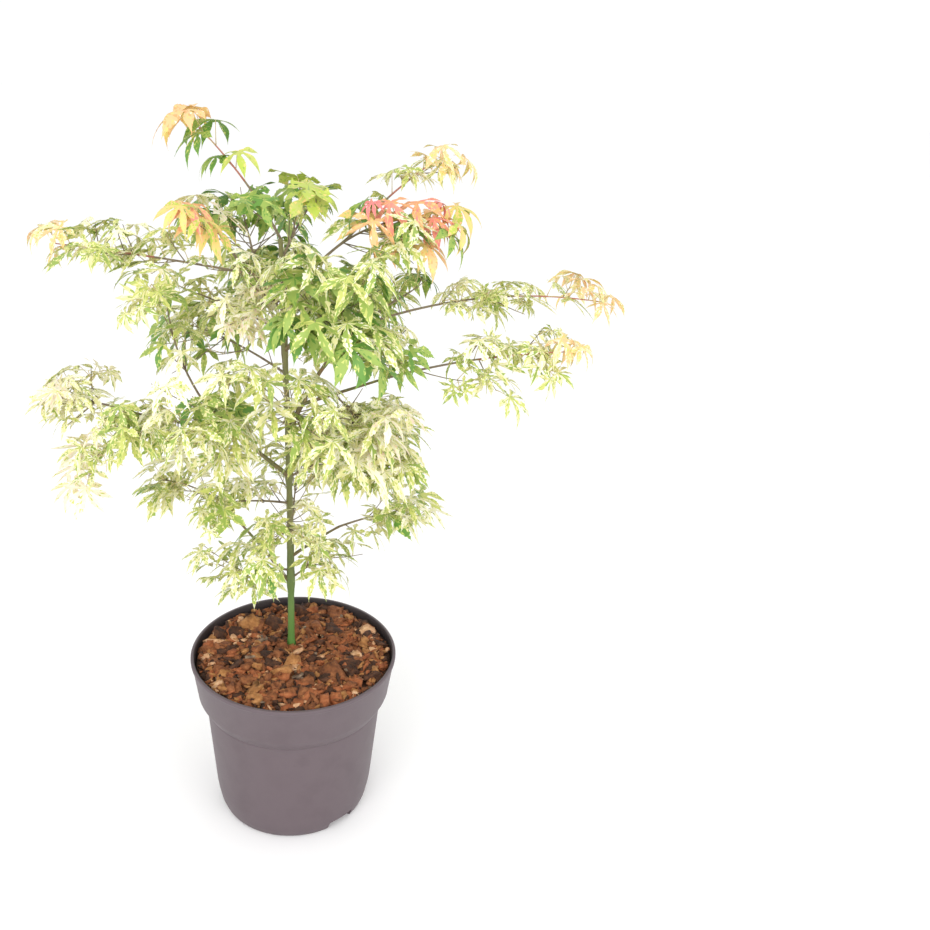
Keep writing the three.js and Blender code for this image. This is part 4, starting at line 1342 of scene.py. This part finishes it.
def bark_relief(rng, rings, sides):
    """A share of the radius for each ring and side: long shallow ridges, and rougher spots."""
    turns = around(sides)
    heights = np.linspace(0, 1, rings)
    relief = np.ones((rings, sides))
    ridges, depth = BARK["ridges"], BARK["depth"]
    for _ in range(ridges):
        waves, phase = rng.integers(*BARK["waves"]), rng.uniform(0, BARK["phase"])
        twist = rng.uniform(-BARK["twist"], BARK["twist"])
        relief += depth * np.sin(waves * turns[None] + phase + twist * heights[:, None]) / ridges
    return relief + rng.normal(0, depth * BARK["roughness"], (rings, sides))


def node_swelling(places, spots, height, size):
    """How much thicker a limb is near the places where others leave it."""
    swelling = np.ones(len(places))
    for spot in spots:
        away = np.linalg.norm(places - spot, axis=1)
        swelling += size * np.exp(-((away / height) ** 2))
    return swelling


# How each limb's mesh is made. A bough is thinner than its solid, but for its flare where it leaves its limb.
TRUNK_MESH = {"rings": 220, "sides": 16, "sunk": 4, "sunk_radius": 1.05}
BOUGH_MESH = {"rings": 70, "sides": 12, "root": 0.92, "taper": 0.2, "flare": 0.35, "flare_length": 0.03}
SWELLING = {"reach": 1.6, "size": 0.22}


def make_limbs():
    starts = {name: [] for name in limbs}
    for spec in [*BOUGHS.values(), *MASSES.values()]:
        parent, at = spec[:2]
        starts[parent].append(limbs[parent][0].point(start_share(parent, at)))
    for number, (name, (curve, radius)) in enumerate(limbs.items()):
        rng = np.random.default_rng(MESH_SEEDS["limb"] + number)
        is_trunk = name == "trunk"
        form = TRUNK_MESH if is_trunk else BOUGH_MESH
        shares = np.linspace(0, 1, form["rings"])
        places = curve.point(shares)
        radii = radius(shares)
        if is_trunk:
            places = np.vstack([places[0] - UP * form["sunk"], places])
            radii = np.hstack([radii[0] * form["sunk_radius"], radii])
        else:
            flare = 1 + form["flare"] * np.exp(-shares / form["flare_length"])
            radii = radii * (form["root"] - form["taper"] * shares) * flare
        radii = radii * node_swelling(places, starts[name], radii.max() * SWELLING["reach"], SWELLING["size"])
        shape = Shape()
        relief = bark_relief(rng, len(places), form["sides"])
        tube(shape, places, radii, form["sides"], relief=relief)
        node = name if is_trunk else f"bough_{name}"
        piece = shape.piece(f"{node}_bark", [trunk_material if is_trunk else bough_material])
        settle(piece, "green_stem" if is_trunk else "bough_bark", node)


make_pot()
make_mix()
make_limbs()
for mass in range(len(MASSES)):
    dress(mass)

# The floor, the light and the camera

FLOOR_SIZE = 12
EYE = (0, -0.865, 0.756)
TILT = math.radians(24.8)
FOCAL_PIXELS = 1085
PICTURE_WIDTH = 930
PAN = math.atan(170.5 / FOCAL_PIXELS)  # the plant stands left of the picture's centre
SENSOR_WIDTH = 36
SKY_STRENGTH = 1.04
LIGHTS = {  # place, target, size and power
    "key": ((-0.7, -1.7, 1.3), (0, 0, 0.35), 1.6, 19),
    "fill": ((1.2, -1.5, 0.9), (0, 0, 0.3), 1.4, 9),
}


def make_floor():
    mesh = bpy.data.meshes.new("floor")
    half = FLOOR_SIZE / 2
    corners = [(-half, -half, 0), (half, -half, 0), (half, half, 0), (-half, half, 0)]
    mesh.from_pydata(corners, [], [(0, 1, 2, 3)])
    mesh.materials.append(plain_material("floor_paint", (252, 252, 252), 0.9))
    add_object("floor", mesh)


def make_light(name, place, target, size, power):
    lamp = bpy.data.lights.new(name, "AREA")
    lamp.shape = "DISK"
    lamp.size = size
    lamp.energy = power
    light = add_object(name, lamp)
    place, target = np.array(place, float), np.array(target, float)
    back = unit(place - target)
    side = unit(np.cross(UP, back))
    light.matrix_world = matrix_of(side, np.cross(back, side), back, place)


def matrix_of(x_axis, y_axis, z_axis, place):
    rows = np.eye(4)
    rows[:3, 0], rows[:3, 1], rows[:3, 2], rows[:3, 3] = x_axis, y_axis, z_axis, place
    return Matrix(rows.tolist())


def make_world():
    world = bpy.data.worlds.new("studio")
    bpy.context.scene.world = world
    world.use_nodes = True
    background = world.node_tree.nodes["Background"]
    background.inputs["Color"].default_value = (1, 1, 1, 1)
    background.inputs["Strength"].default_value = SKY_STRENGTH


def make_camera():
    ahead = np.array([0, math.cos(TILT), -math.sin(TILT)])
    right = np.array([1.0, 0, 0])
    up = np.cross(right, ahead)
    aimed = turned(ahead, right, PAN)
    right = turned(right, -ahead, PAN)
    lens = bpy.data.cameras.new("camera")
    lens.sensor_width = SENSOR_WIDTH
    lens.lens = SENSOR_WIDTH * FOCAL_PIXELS / PICTURE_WIDTH
    camera = add_object("camera", lens)
    camera.matrix_world = matrix_of(right, up, -aimed, EYE)
    bpy.context.scene.camera = camera


make_floor()
make_world()
for light, values in LIGHTS.items():
    make_light(light, *values)
make_camera()
bpy.context.scene.view_settings.view_transform = "Standard"
